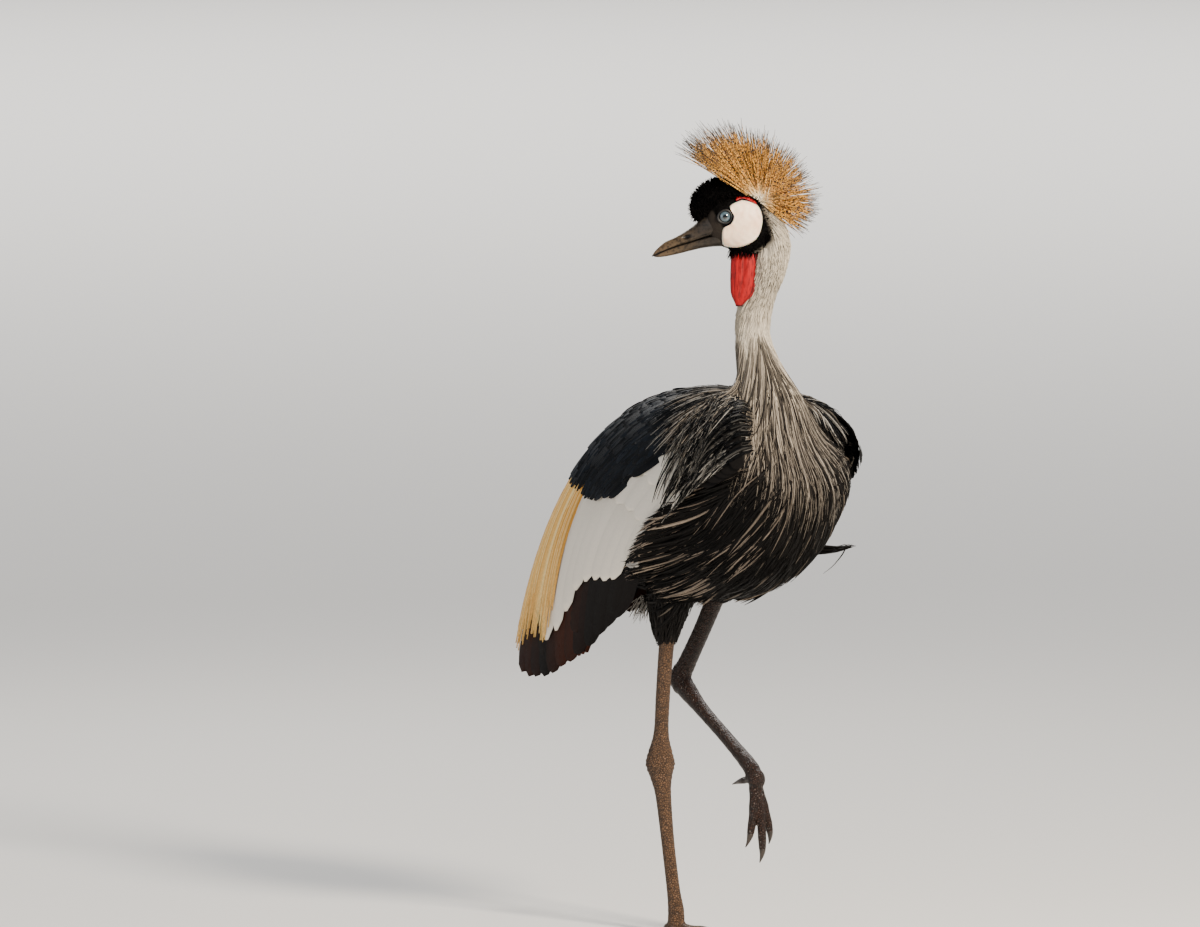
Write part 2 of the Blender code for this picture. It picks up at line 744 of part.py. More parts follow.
def ball(name, middle, half, look, segments=16, rings=10, place=Matrix()):
    """An ellipsoid with its poles up and down."""
    made = bmesh.new()
    bmesh.ops.create_uvsphere(made, u_segments=segments, v_segments=rings, radius=1.0)
    bmesh.ops.triangulate(made, faces=made.faces)
    for corner in made.verts:
        spot = Vector((corner.co[i] * half[i] + middle[i] for i in range(3)))
        corner.co = place @ spot
    mesh = bpy.data.meshes.new(name)
    made.to_mesh(mesh)
    made.free()
    mesh.materials.append(look)
    thing = bpy.data.objects.new(name, mesh)
    bpy.context.scene.collection.objects.link(thing)
    return thing


def eye_socket(side, look):
    """The hollow that holds an eye, as a cutter."""
    return ball("socket", (0.0, side * EYE_OUT, 0.0), (SOCKET_RADIUS,) * 3, look, 10, 6, head_frame())


def make_head(skin, black, eye_look, white):
    place = head_frame()
    head = head_loft("head", SKULL, 10, 16, black, 0.92)
    upper = head_loft("bill_upper", UPPER_BILL, 9, 12, skin, 0.90)
    lower = head_loft("bill_lower", LOWER_BILL, 8, 10, skin, 0.90)
    hole = ball(
        "nostril", (NOSTRIL_X, 0.0, NOSTRIL_Z), (NOSTRIL_HALF[0], 0.05, NOSTRIL_HALF[1]), skin, 10, 8, place
    )
    cut(upper, hole)
    for side, word in ((1, "left"), (-1, "right")):
        ball("eye_" + word, (0.0, side * EYE_OUT, 0.0), (EYE_RADIUS,) * 3, eye_look, 14, 8, place)
        patch = cheek_patch("cheek_" + word, side, head, white)
        cut(head, eye_socket(side, black))
        cut(patch, eye_socket(side, black))
    return head, upper, lower


def add_lids(head, others, look):
    """Lids that ring each eye, joined to the head, and cut clear of the eye, the cheek and the cap."""
    place = head_frame()
    lids = []
    for side in (1, -1):
        rings = []
        for i in range(LID_STEPS):
            turn = math.tau * i / LID_STEPS
            outward = Vector((math.cos(turn), 0.0, math.sin(turn)))
            ring = []
            for j in range(3):
                around = math.tau * j / 3
                spot = outward * (LID_RING + LID_THICK * math.cos(around))
                spot.y = side * (LID_OUT + LID_DEEP * math.sin(around))
                ring.append(place @ spot)
            rings.append(ring)
        lids.append(hoop("lids", rings, look))
    for other in others:
        for lid in lids:
            cut(other, grown(lid, CLEAR), solver="MANIFOLD")
    fuse(head, lids)
    for side in (1, -1):
        cut(head, eye_socket(side, look), solver="MANIFOLD")


def cheek_patch(name, side, head, look):
    """The raised white patch: its outline pushed through a grown head, and the head taken away."""
    place = head_frame()
    near, far = side * 0.004, side * 0.040
    rings = [[place @ Vector((x, y, z)) for x, z in CHEEK] for y in (near, far)]
    patch = solid(name, rings, look)
    cut(patch, grown(head, CHEEK_RAISED), "INTERSECT")
    cut(patch, grown(head, CLEAR))
    return patch


def make_cap(head, upper, patches, look):
    cap = head_loft("cap", CAP, 10, 14, look, 0.95)
    cut(cap, grown(head, CLEAR))
    cut(cap, grown(upper, CLEAR))
    for patch in patches:
        cut(cap, grown(patch, CLEAR))
    return cap


def crest_direction(swing, lean):
    """A direction of the fan in the head's frame: swing from the front up and over, lean to its left."""
    up = Vector((math.cos(swing), 0.0, math.sin(swing)))
    return (up * math.cos(lean) + Vector((0.0, math.sin(lean), 0.0))).normalized()


def crest_length(swing):
    """Front feathers are the longest."""
    back = (swing - CREST_MIDDLE + CREST_HALF) / (2 * CREST_HALF)
    return through([(length,) for length in CREST_LONG], back)[0]


def make_crest(head, cap, others, look):
    """The crest feather by feather: thin tapered bristles that fan out from a knob behind the cap."""
    place = head_frame()
    draw = random.Random(CREST_SEED)
    crest = ball("crest", CREST_PLACE, CREST_CORE, look, 14, 9, place)
    foot = Vector(CREST_PLACE)
    bristles = []
    across = CREST_ROWS[1]
    for i in range(CREST_ROWS[0]):
        for j in range(across):
            share = (i + 0.5 + draw.uniform(-CREST_STRAY[0], CREST_STRAY[0])) / CREST_ROWS[0]
            swing = CREST_MIDDLE + CREST_HALF * (2 * share - 1)
            if abs(swing - CREST_PARTING) < CREST_PARTING_HALF:
                continue
            place_across = j + 0.5 + 0.5 * (i % 2) + draw.uniform(-CREST_STRAY[1], CREST_STRAY[1])
            lean = CREST_SIDE * (2 * place_across / (across + 0.5) - 1)
            way = crest_direction(swing, lean)
            long = crest_length(swing) * (1.0 - CREST_SIDE_LOSS * (lean / CREST_SIDE) ** 2)
            long *= draw.uniform(1.0 - CREST_SPREAD, 1.0)
            bend = Vector((-way.z, 0.0, way.x)) * draw.uniform(-CREST_BOW, CREST_BOW)
            rings = []
            for t, radius in BRISTLE:
                spot = foot + way * (CREST_KNOB + (long - CREST_KNOB) * t) + bend * (long * t * t)
                ring = tube_ring(spot, way, radius, 3, side=Vector((0.3, 1.0, 0.2)))
                rings.append([place @ point for point in ring])
            bristles.append(solid("bristle", rings, look))
    fuse(crest, bristles)
    for other in [head, cap] + others:
        cut(crest, grown(other, 2 * CLEAR), solver="MANIFOLD")
    return crest


def make_pouch(head, neck, look):
    """Red throat pouch, fluted with upright folds."""
    place = head_frame()
    down = place.to_3x3().inverted() @ Vector((0.0, 0.0, -1.0))
    fore = Vector((1.0, 0.0, 0.0))
    fore = (fore - down * fore.dot(down)).normalized()
    rings = []
    count = 2 * POUCH_FOLDS
    for i in range(8):
        t = i / 7
        half_fore, half_side = through(POUCH, t)
        middle = Vector((POUCH_TOP[0], 0.0, POUCH_TOP[1])) + down * (POUCH_LONG * t)
        middle = middle + fore * (POUCH_BOW * math.sin(math.pi * t))
        ring = []
        for j in range(count):
            turn = math.tau * j / count
            fold = 1.0 + POUCH_FOLD * (-1) ** j * math.sin(math.pi * min(t * 1.3, 1.0))
            spot = middle + fore * (half_fore * math.cos(turn) * fold)
            spot = spot + Vector((0.0, half_side * math.sin(turn) * fold, 0.0))
            ring.append(place @ spot)
        rings.append(ring)
    pouch = solid("throat_pouch", rings, look)
    cut(pouch, grown(head, CLEAR))
    cut(pouch, grown(neck, CLEAR))
    return pouch


def bezier(points, t):
    """The point at t on the cubic curve with these four control points."""
    u = 1.0 - t
    weights = (u**3, 3 * u * u * t, 3 * u * t * t, t**3)
    return sum((Vector(p) * w for p, w in zip(points, weights)), Vector())


def wing_point(side, row, along):
    """A point of the wing's outer sheet: row from the front lower edge to the ridge of the back, along from
    the shoulder to the tips. Side is -1 on the right."""
    spot = bezier([bezier(line, along) for line in WING], row)
    if side > 0:
        spot.z += LEFT_TUCK * along**2 * (1.0 - 0.5 * row)
        spot.y *= 1.0 - LEFT_CLOSE * along**2
    return Vector((spot.x, side * spot.y, spot.z))


def wing_normal(side, row, along):
    """The outward direction of the sheet."""
    step = 0.01
    a = wing_point(side, min(row + step, 1.0), along) - wing_point(side, max(row - step, 0.0), along)
    b = wing_point(side, row, min(along + step, 1.0)) - wing_point(side, row, max(along - step, 0.0))
    return a.cross(b).normalized() * -side


def wing_slab(name, side, reach, lift, look):
    """A slab under the wing's sheet, as far as reach along it, with its outer face lifted."""
    rings = []
    for along in [bend for bend in WING_BENDS if bend < reach] + [reach]:
        outer, inner = [], []
        for j in range(WING_ACROSS + 1):
            row = FIRST_ROW + (1.0 - FIRST_ROW) * j / WING_ACROSS
            spot = wing_point(side, row, along)
            out = wing_normal(side, row, along)
            share = max(1.0 - along / SLAB_REACH, 0.0) * row**0.5
            thick = SLAB_THICK[0] + (SLAB_THICK[1] - SLAB_THICK[0]) * share
            outer.append(spot + out * lift)
            inner.append(spot - out * thick)
        rings.append(outer + inner[::-1])
    return solid(name, rings, look)


def cut_midline(wing, side):
    """Takes away what crosses the bird's middle plane, so that the two wings keep the gap."""
    low = (-1, -GAP / 2, -1) if side < 0 else (-1, -1, -1)
    high = (1, 1, 2) if side < 0 else (1, GAP / 2, 2)
    cut(wing, slab_box("midline", low, high), solver="MANIFOLD")


def wing_vane(side, row, start, end, width, lifts, blunt, look):
    """One feather on the wing's sheet: its root is sunk in the slab, and it lifts towards its tip, with one
    edge under its neighbour's."""
    places = [start] + [bend for bend in WING_BENDS if start + VANE_FREE[0] < bend < end - VANE_FREE[1]]
    if blunt:
        places.append(end - TIP_ROUND)
    places.append(end)
    rings = []
    for along in places:
        t = (along - start) / (end - start)
        here = row + ROW_DRIFT * (along - start)
        step = 0.02
        span = wing_point(side, here + step, along) - wing_point(side, here - step, along)
        metre = span.length / (2 * step)
        wide = min(0.65 + 1.2 * t, 1.0)
        if along == end:
            wide = TIP_WIDE[0] if blunt else TIP_WIDE[1]
        half = width * wide / 2 / metre
        lift = VANE_ROOT if along == start else lifts[0] + (lifts[1] - lifts[0]) * t
        edges = []
        for edge, tilt in ((here - half, -VANE_TILT), (here + half, VANE_TILT)):
            out = wing_normal(side, min(max(edge, 0.0), 1.0), along)
            edges.append(wing_point(side, edge, along) + out * (lift + tilt))
        rise = wing_normal(side, min(max(here, 0.0), 1.0), along) * (VANE_THICK / 2)
        rings.append([edges[0] + rise, edges[1] + rise, edges[1] - rise, edges[0] - rise])
    return strip("vane", rings, look)


def make_wing(side, word, neck, looks):
    """A folded wing: tiers of vanes on a slab, from the slate coverts down to the flight feathers."""
    draw = random.Random(WING_SEED + side)
    wing = wing_slab("wing_" + word, side, SLAB_REACH, SLAB_DROP, looks["slate"])
    vanes = []
    for colour, count, low, high, start, end, width, lift_root, lift_tip in WING_TIERS:
        for i in range(count):
            row = low + (high - low) * i / (count - 1)
            shift = draw.uniform(-WING_STRAY, WING_STRAY)
            if side > 0 and colour == "chestnut":
                shift -= LEFT_SHORT
            lifts = (lift_root, lift_tip)
            blunt = colour in ("chestnut", "white")
            vanes.append(wing_vane(side, row, start, end + shift, width, lifts, blunt, looks[colour]))
    fuse(wing, vanes)
    cut(wing, grown(neck, CLEAR), solver="MANIFOLD")
    cut_midline(wing, side)
    return wing


def make_tail(torso, look):
    """A short root block and a fan of vanes, the middle one on top."""
    root, tip = Vector(TAIL_ROOT), Vector(TAIL_TIP)
    down = (tip - root).normalized()
    out = down.cross(Vector((0.0, 1.0, 0.0))).normalized()
    if out.x > 0:
        out = -out
    rings = []
    for i in range(4):
        middle = root + down * (TAIL_BLOCK * i / 3)
        half = TAIL_HALF[0] + (TAIL_HALF[1] * 0.6 - TAIL_HALF[0]) * i / 3
        ring = []
        for j in range(10):
            turn = math.tau * j / 10
            thick = TAIL_DEEP[0] + (TAIL_DEEP[1] - TAIL_DEEP[0]) * i / 3
            ring.append(middle + out * (thick * math.cos(turn)) + Vector((0.0, half * math.sin(turn), 0.0)))
        rings.append(ring)
    tail = solid("tail", rings, look)
    vanes = []
    length = (tip - root).length
    for k in range(-(TAIL_VANES // 2), TAIL_VANES // 2 + 1):
        spread = 2 * k / TAIL_VANES
        path, outs, widths = [], [], []
        for t, wide in TAIL_VANE:
            away = TAIL_HALF[1] * spread * (0.35 + 0.65 * t)
            sink = -TAIL_STEP * abs(k) - (0.0 if t > 0 else TAIL_SINK)
            rise = TAIL_BOW * math.sin(math.pi * t) + sink
            reach = TAIL_BLOCK * 0.5 + (length - TAIL_BLOCK * 0.5 - TAIL_ROUND * abs(spread)) * t
            path.append(root + down * reach + out * rise + Vector((0.0, away, 0.0)))
            outs.append(out)
            widths.append(TAIL_WIDE * wide)
        vanes.append(lock("vane", path, outs, widths, TAIL_THICK, look))
    fuse(tail, vanes)
    cut(tail, grown(torso, CLEAR), solver="MANIFOLD")
    return tail


def toe_course(toe, lift, curl):
    """The places, headings and radii along a toe, in its foot's frame."""
    name, _, length, radius, tip_radius = toe
    hind = name == "hind"
    bend = math.radians(HIND_BEND[1 if lift else 0]) if hind else 0.0
    spot = Vector((0.0, 0.0, HIND_HEIGHT if hind else radius * SOLE))
    course = []
    for i in range(TOE_STEPS + 1):
        t = i / TOE_STEPS
        r = (radius + (tip_radius - radius) * t) * (1.0 + TOE_PADS * math.sin(3 * math.pi * t) ** 2)
        if not lift and not hind:
            spot.z = r * SOLE
        heading = Vector((math.cos(bend), 0.0, -math.sin(bend)))
        course.append((spot.copy(), heading, r))
        bend += curl / TOE_STEPS * (HIND_CURL if hind else 1.0)
        spot += heading * (length / TOE_STEPS)
    return course


def rest_on_floor(ring, lift):
    if not lift:
        for point in ring:
            point.z = max(point.z, 0.0)
    return ring


def make_foot(word, place, shank, lift, curl, skin, claw_look):
    """The pad, four toes and their claws. Shank is the end of the tarsus and its direction. Curl bends the
    toes down, as on the lifted foot, and lift says whether they rest on the floor. The lowest faces of the
    toes and the claws' tips then lie on it."""
    pad = ball("foot_" + word, (0.0, 0.0, PAD_HEIGHT), PAD_HALF, skin, 10, 6, place)
    end, along = Vector(shank[0][:3]), Vector(shank[1]).normalized()
    inside = place @ Vector((0.0, 0.0, PAD_HEIGHT))
    sunk = end + along * ((inside - end).dot(along) * 0.6)
    rings = [
        tube_ring(end + along * GAP, along, shank[0][3], 12),
        tube_ring(sunk, along, shank[0][3] * 0.96, 12),
        tube_ring(inside, along, shank[0][3] * 0.8, 12),
    ]
    pieces = [solid("stub", rings, skin)]
    for toe in TOES:
        name, spread = toe[:2]
        turned = place @ Matrix.Rotation(spread * (LIFTED_SPREAD if lift and name != "hind" else 1.0), 4, "Z")
        course = toe_course(toe, lift, curl)
        rings = [tube_ring(spot, heading, radius, TOE_SIDES, side=UP) for spot, heading, radius in course]
        rings = [rest_on_floor(ring, lift) for ring in rings]
        pieces.append(solid("toe", [[turned @ point for point in ring] for ring in rings], skin))
        last, heading, last_r = course[-1]
        fall = last.z + heading.z * (GAP + CLAW_LONG) - CLAW_TIP if not lift else LIFTED_CLAW_DROP
        rings = []
        for i in range(CLAW_STEPS + 1):
            t = i / CLAW_STEPS
            r = last_r * CLAW_ROOT * (1.0 - t) + CLAW_TIP
            here = last + heading * (GAP + CLAW_LONG * t) - UP * (fall * t * t)
            ring = rest_on_floor(tube_ring(here, heading, r, 6, side=UP), lift)
            rings.append([turned @ point for point in ring])
        solid("claw_" + word + "_" + name, rings, claw_look)
    fuse(pad, pieces)
    if not lift:
        cut(pad, slab_box("ground", (-1, -1, -1), (1, 1, 0.0)))
    return pad


def make_legs(torso, feather, skin, claw_look):
    """Both legs: a feathered thigh, the bare shin and tarsus, and the foot."""
    for word, thigh, shin, tarsus, ankle, end in (
        ("right", RIGHT_THIGH, RIGHT_SHIN, RIGHT_TARSUS, DOWN, DOWN),
        ("left", LEFT_THIGH, LEFT_SHIN, LEFT_TARSUS, LEFT_ANKLE_FACE, LEFT_TARSUS_END),
    ):
        along = Vector(shin[1][:3]) - Vector(shin[0][:3])
        upper = limb("thigh_" + word, thigh, 6, 12, feather, (along, along))
        limb_locks(upper, thigh, THIGH_LOCKS, random.Random(NECK_SEED), feather)
        cut(upper, grown(torso, CLEAR))
        limb("shin_" + word, shin, 9, LEG_SIDES, skin, (along, ankle))
        limb("tarsus_" + word, tarsus, 10, LEG_SIDES, skin, (ankle, end))
    right = Matrix.Translation(RIGHT_FOOT) @ Matrix.Rotation(RIGHT_FOOT_TURN, 4, "Z")
    make_foot("right", right, (RIGHT_TARSUS[-1], DOWN), False, 0.0, skin, claw_look)
    hang = Matrix.Rotation(LEFT_FOOT_HANG, 4, "Y")
    left = Matrix.Translation(LEFT_FOOT) @ hang
    make_foot("left", left, (LEFT_TARSUS[-1], LEFT_TARSUS_END), True, LEFT_FOOT_CURL, skin, claw_look)


def stand_on_origin():
    """Moves the whole bird so that the origin is below the middle of its box, on the floor."""
    bird = bpy.data.objects.new("crane", None)
    bpy.context.scene.collection.objects.link(bird)
    spots = []
    for thing in bpy.data.objects:
        if thing.type == "MESH":
            thing.parent = bird
            spots += [corner.co for corner in thing.data.vertices]
    for i in range(2):
        bird.location[i] = -(max(p[i] for p in spots) + min(p[i] for p in spots)) / 2


def main():
    clear_scene()
    grey = paint("grey_feathers", FEATHER_GREY, 0.75)
    looks = {
        "breast": paint("dark_breast_feathers", DARK_BREAST, 0.7),
        "slate": paint("slate_feathers", SLATE, 0.5),
        "white": paint("white_feathers", WHITE, 0.6),
        "gold": paint("gold_feathers", GOLD, 0.6),
        "chestnut": paint("chestnut_feathers", CHESTNUT, 0.5),
    }
    black = paint("black_velvet", BLACK, 0.9)
    bill_skin = paint("bill_horn", SKIN_GREY, 0.45)
    cheek = paint("white_cheek_skin", CHEEK_WHITE, 0.5)
    red = paint("red_skin", RED, 0.45)
    iris = paint("pale_blue_eye", IRIS, 0.1)
    leg = paint("scaled_leg_skin", LEG_BROWN, 0.55)
    claw = paint("claw_horn", CLAW_DARK, 0.35)

    torso = make_torso(looks["breast"])
    head, upper, lower = make_head(bill_skin, black, iris, cheek)
    patches = [bpy.data.objects["cheek_left"], bpy.data.objects["cheek_right"]]
    cap = make_cap(head, upper, patches, black)
    neck_lower, neck_upper = make_neck(torso, head, grey)
    make_pouch(head, neck_upper, red)
    make_crest(head, cap, [neck_upper] + patches, looks["gold"])
    add_lids(head, patches + [cap], black)
    for side, word in ((-1, "right"), (1, "left")):
        make_wing(side, word, neck_lower, looks)
    make_tail(torso, looks["chestnut"])
    make_legs(torso, looks["breast"], leg, claw)
    add_body_locks(torso, looks)
    stand_on_origin()
    for thing in bpy.data.objects:
        if thing.type == "MESH":
            thing.data.shade_smooth()
            thing.data.set_sharp_from_angle(angle=math.radians(40))


main()
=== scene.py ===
"""Looks of the grey crowned crane. Metres, +Z up. Sizes are in the bird's own frame, where +X is its heading
and +Y its left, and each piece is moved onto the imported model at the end."""

import math

import bmesh
import bpy
import numpy as np
from mathutils import Matrix, Vector
from mathutils.bvhtree import BVHTree


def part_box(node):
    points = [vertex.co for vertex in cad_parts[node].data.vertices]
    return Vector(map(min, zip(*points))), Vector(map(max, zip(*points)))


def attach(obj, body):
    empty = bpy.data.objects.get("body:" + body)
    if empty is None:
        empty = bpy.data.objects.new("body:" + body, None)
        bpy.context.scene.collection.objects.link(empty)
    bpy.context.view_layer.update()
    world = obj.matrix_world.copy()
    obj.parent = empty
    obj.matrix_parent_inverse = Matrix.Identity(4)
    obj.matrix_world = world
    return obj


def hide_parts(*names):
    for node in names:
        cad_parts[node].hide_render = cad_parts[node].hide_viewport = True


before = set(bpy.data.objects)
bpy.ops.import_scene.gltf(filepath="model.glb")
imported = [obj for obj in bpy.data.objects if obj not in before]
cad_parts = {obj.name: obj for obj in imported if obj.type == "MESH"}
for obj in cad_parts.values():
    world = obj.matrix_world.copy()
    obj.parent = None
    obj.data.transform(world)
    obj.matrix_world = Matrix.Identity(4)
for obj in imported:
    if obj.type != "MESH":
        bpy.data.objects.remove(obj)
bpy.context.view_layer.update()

# Photograph: metres for each of its pixels, its size, and the direction and distance that it was taken from
PIXEL = 0.00122
PHOTO = (1200, 927)
CAMERA_AZIMUTH = math.radians(55)
CAMERA_ELEVATION = math.radians(4.5)
CAMERA_DISTANCE = 14.0
SENSOR = 36.0
# The frame's middle, in pixels right of the bird's origin and above it
FRAME_MIDDLE = (-100, 471.5)

# Body under the wings, from vent to breast: x, top z, bottom z, half width
BODY = np.array((
    (-0.240, 0.500, 0.474, 0.014), (-0.210, 0.528, 0.452, 0.038), (-0.150, 0.576, 0.431, 0.064),
    (-0.080, 0.622, 0.416, 0.084), (0.000, 0.642, 0.414, 0.096), (0.075, 0.650, 0.419, 0.102),
    (0.140, 0.645, 0.436, 0.097), (0.190, 0.620, 0.470, 0.085), (0.222, 0.588, 0.508, 0.060),
    (0.236, 0.566, 0.534, 0.022),
))
# How high its widest line lies as a share of its depth, in the body and at the breast, how boxy it is, and
# how deep the skin lies under the coat
BODY_WIDEST = (0.60, 0.76)
BODY_BOX = 0.86
COAT_DEPTH = 0.003
# Low on the breast's sides the skin lies further in: place along the body and half length, turn and half
# width in degrees, and depth
TUCK_PLACE, TUCK_LONG = 0.71, 0.36
TUCK_TURN, TUCK_HALF = 126, 60
TUCK_DEPTH = 0.014

# Neck, from inside the body up into the head: x, y, z, radius
NECK = np.array((
    (0.150, 0.000, 0.588, 0.058), (0.145, 0.000, 0.645, 0.046), (0.136, 0.000, 0.673, 0.034),
    (0.124, 0.000, 0.697, 0.0265), (0.108, 0.001, 0.734, 0.0210), (0.105, 0.003, 0.758, 0.0215),
    (0.113, 0.005, 0.786, 0.0205), (0.133, 0.008, 0.822, 0.0200), (0.139, 0.010, 0.852, 0.0200),
    (0.133, 0.002, 0.873, 0.0190), (0.122, -0.014, 0.888, 0.0150),
))
NECK_DEPTH = 0.0022

# Head: its own frame has +X along the bill and its origin midway between the eyes
HEAD_PLACE = (0.1048, -0.0387, 0.885)
HEAD_TURN = math.radians(-125)
HEAD_PITCH = math.radians(14)
SKULL = np.array((
    (-0.053, -0.008, -0.030, 0.008), (-0.047, 0.004, -0.042, 0.016), (-0.034, 0.017, -0.052, 0.0215),
    (-0.018, 0.026, -0.053, 0.0240), (0.000, 0.027, -0.043, 0.0230), (0.012, 0.020, -0.0355, 0.0195),
    (0.022, 0.0075, -0.0290, 0.0130),
))
UPPER_BILL = np.array((
    (0.006, 0.0215, -0.0190, 0.0185), (0.0123, 0.018, -0.0193, 0.0175), (0.024, 0.0075, -0.0192, 0.0140),
    (0.036, -0.0008, -0.0196, 0.0108), (0.050, -0.0066, -0.0205, 0.0088), (0.064, -0.0107, -0.0213, 0.0070),
    (0.078, -0.0136, -0.0227, 0.0054), (0.090, -0.0198, -0.0246, 0.0032), (0.0970, -0.0256, -0.0264, 0.0009),
))
LOWER_BILL = np.array((
    (0.006, -0.0199, -0.0355, 0.0168), (0.0123, -0.0197, -0.0350, 0.0160), (0.022, -0.0195, -0.0330, 0.0124),
    (0.036, -0.0200, -0.0314, 0.0098), (0.050, -0.0209, -0.0311, 0.0078), (0.064, -0.0217, -0.0312, 0.0062),
    (0.078, -0.0231, -0.0308, 0.0046), (0.088, -0.0250, -0.0297, 0.0028), (0.0948, -0.0266, -0.0276, 0.0008),
))
# Nostril's place and half size in the side view, and how far the bill's halves reach into each other
NOSTRIL = (0.0504, -0.0136)
NOSTRIL_HALF = (0.0052, 0.0026)
MOUTH_CLOSED = 0.0007
# Eyeball, how far out its middle and the lids' ring lie, and its rings
EYE_RADIUS = 0.0088
EYE_OUT = 0.0170
LID_OUT = 0.0224
LID_RING = 0.0080
IRIS_RADIUS = 0.0066
PUPIL_RADIUS = 0.0024
# Hollow of the skin round the ball, and the fold round that
SOCKET_RADIUS = 0.0082
SOCKET_DEPTH = 0.010
FOLD_RADIUS = 0.0105
FOLD_HALF = 0.0016
FOLD_RAISED = 0.0006
HEAD_SIDE = 0.008
# Velvet cap over the forehead: x, top z, bottom z, half width
CAP = np.array((
    (-0.047, 0.006, -0.002, 0.006), (-0.036, 0.020, 0.004, 0.015), (-0.020, 0.035, 0.010, 0.0205),
    (-0.005, 0.047, 0.011, 0.0215), (0.009, 0.0475, 0.008, 0.0205), (0.022, 0.042, 0.003, 0.0175),
    (0.032, 0.033, 0.001, 0.0125), (0.0375, 0.022, 0.004, 0.006),
))
PILE = 0.0045
# White cheek patch, in the side view of the head, round from its top
CHEEK = np.array((
    (-0.0247, 0.0149), (-0.0087, 0.0113), (-0.0105, -0.0014), (-0.0045, -0.0100), (0.0058, -0.0135),
    (0.0106, -0.0278), (0.0080, -0.0360), (-0.0096, -0.0405), (-0.0298, -0.0355), (-0.0410, -0.0206),
    (-0.0438, -0.0053), (-0.0390, 0.0065),
))
CHEEK_MIDDLE = (-0.0180, -0.0150)
CHEEK_RAISED = 0.0026
# Red crescent over the cheek, front to back
CRESCENT = np.array((
    (-0.0175, 0.0158), (-0.0225, 0.0182), (-0.0280, 0.0176), (-0.0345, 0.0128), (-0.0405, 0.0058),
))
CRESCENT_HALF = 0.0025
CRESCENT_OUT = 0.0034

# Golden crest: its root on the head, the middle and half angle of its fan from the side and from behind, a
# gap in it, and its bristles' lengths from front to back
CREST_PLACE = (-0.046, 0.0, 0.008)
CREST_MIDDLE = math.radians(141)
CREST_HALF = math.radians(93)
CREST_SIDE = math.radians(38)
CREST_PARTING = math.radians(176)
CREST_PARTING_HALF = math.radians(2.5)
CREST_LONG = np.array((0.122, 0.115, 0.092, 0.080, 0.075, 0.070, 0.074, 0.073, 0.070))[:, None]

# Red throat pouch: half its length and width on the way down, and how far forward it hangs
POUCH_TOP = (-0.014, -0.040)
POUCH_LONG = 0.074
POUCH = np.array((
    (0.0135, 0.0090, -0.0008), (0.0172, 0.0104, -0.0014), (0.0178, 0.0102, -0.0012), (0.0168, 0.0092, 0.0000),
    (0.0136, 0.0070, 0.0022), (0.0038, 0.0026, 0.0062),
))

# Folded wing as a curved sheet over the right side, y outwards: rows run from the shoulder to the tips, and
# go from the front lower edge up to the ridge of the back
WING = np.array((
    ((0.206, 0.084, 0.604), (0.130, 0.126, 0.560), (0.045, 0.124, 0.490), (-0.030, 0.085, 0.405)),
    ((0.190, 0.084, 0.653), (0.070, 0.134, 0.615), (-0.055, 0.126, 0.500), (-0.140, 0.072, 0.350)),
    ((0.125, 0.036, 0.672), (-0.030, 0.098, 0.668), (-0.190, 0.104, 0.560), (-0.245, 0.056, 0.305)),
    ((0.080, 0.0022, 0.664), (-0.110, 0.0024, 0.674), (-0.308, 0.012, 0.596), (-0.340, 0.034, 0.285)),
))
# How much higher, closer and shorter the left wing's tip is held
LEFT_TUCK = 0.050
LEFT_CLOSE = 0.25
LEFT_SHORT = 0.05
# The folded arm and the flights' front edge under the sheet: first row and rows, first reach and reaches, and
# depth of the inner face, at its least and at the shoulder
ARM = ((0.10, 0.90), (0.0, 0.62), (0.0085, 0.020))
FLIGHTS_EDGE = ((-0.02, 0.34), (0.40, 0.48), (0.006, 0.006))

# Tail: root at the vent, and the line of its tips
TAIL_ROOT = (-0.2405, 0.0, 0.487)
TAIL_TIP = (-0.288, 0.0, 0.312)
TAIL_HALF = 0.028

# Legs: x, y, z, radius
RIGHT_THIGH = np.array((
    (0.020, -0.046, 0.470, 0.040), (0.004, -0.046, 0.425, 0.032), (-0.006, -0.045, 0.390, 0.0220),
    (-0.010, -0.044, 0.358, 0.0120),
))
RIGHT_LEG = np.array((
    (-0.004, -0.045, 0.372, 0.0100), (-0.010, -0.044, 0.350, 0.0092), (-0.022, -0.040, 0.295, 0.0088),
    (-0.034, -0.034, 0.248, 0.0092), (-0.040, -0.031, 0.222, 0.0150), (-0.0415, -0.030, 0.208, 0.0178),
    (-0.0405, -0.0290, 0.190, 0.0130), (-0.0385, -0.0275, 0.168, 0.0096), (-0.0350, -0.0230, 0.110, 0.0080),
    (-0.0310, -0.0180, 0.055, 0.0082), (-0.0290, -0.0155, 0.030, 0.0098), (-0.0290, -0.0150, 0.012, 0.0105),
))
LEFT_THIGH = np.array((
    (0.020, 0.046, 0.470, 0.036), (0.000, 0.045, 0.440, 0.027), (-0.025, 0.042, 0.412, 0.0150),
))
LEFT_LEG = np.array((
    (-0.018, 0.043, 0.424, 0.0118), (-0.025, 0.042, 0.412, 0.0115), (-0.048, 0.0380, 0.370, 0.0105),
    (-0.074, 0.0330, 0.326, 0.0112), (-0.085, 0.0305, 0.306, 0.0135), (-0.068, 0.0295, 0.2925, 0.0118),
    (-0.032, 0.0270, 0.2710, 0.0086), (0.028, 0.0235, 0.2390, 0.0082), (0.078, 0.0205, 0.2100, 0.0098),
    (0.0830, 0.0200, 0.1960, 0.0105),
))
RIGHT_FOOT = (-0.029, -0.015, 0.0)
RIGHT_FOOT_TURN = math.radians(-4)
LEFT_FOOT = (0.0795, 0.0200, 0.1945)
LEFT_FOOT_HANG = math.radians(68)
LEFT_FOOT_CURL = math.radians(22)
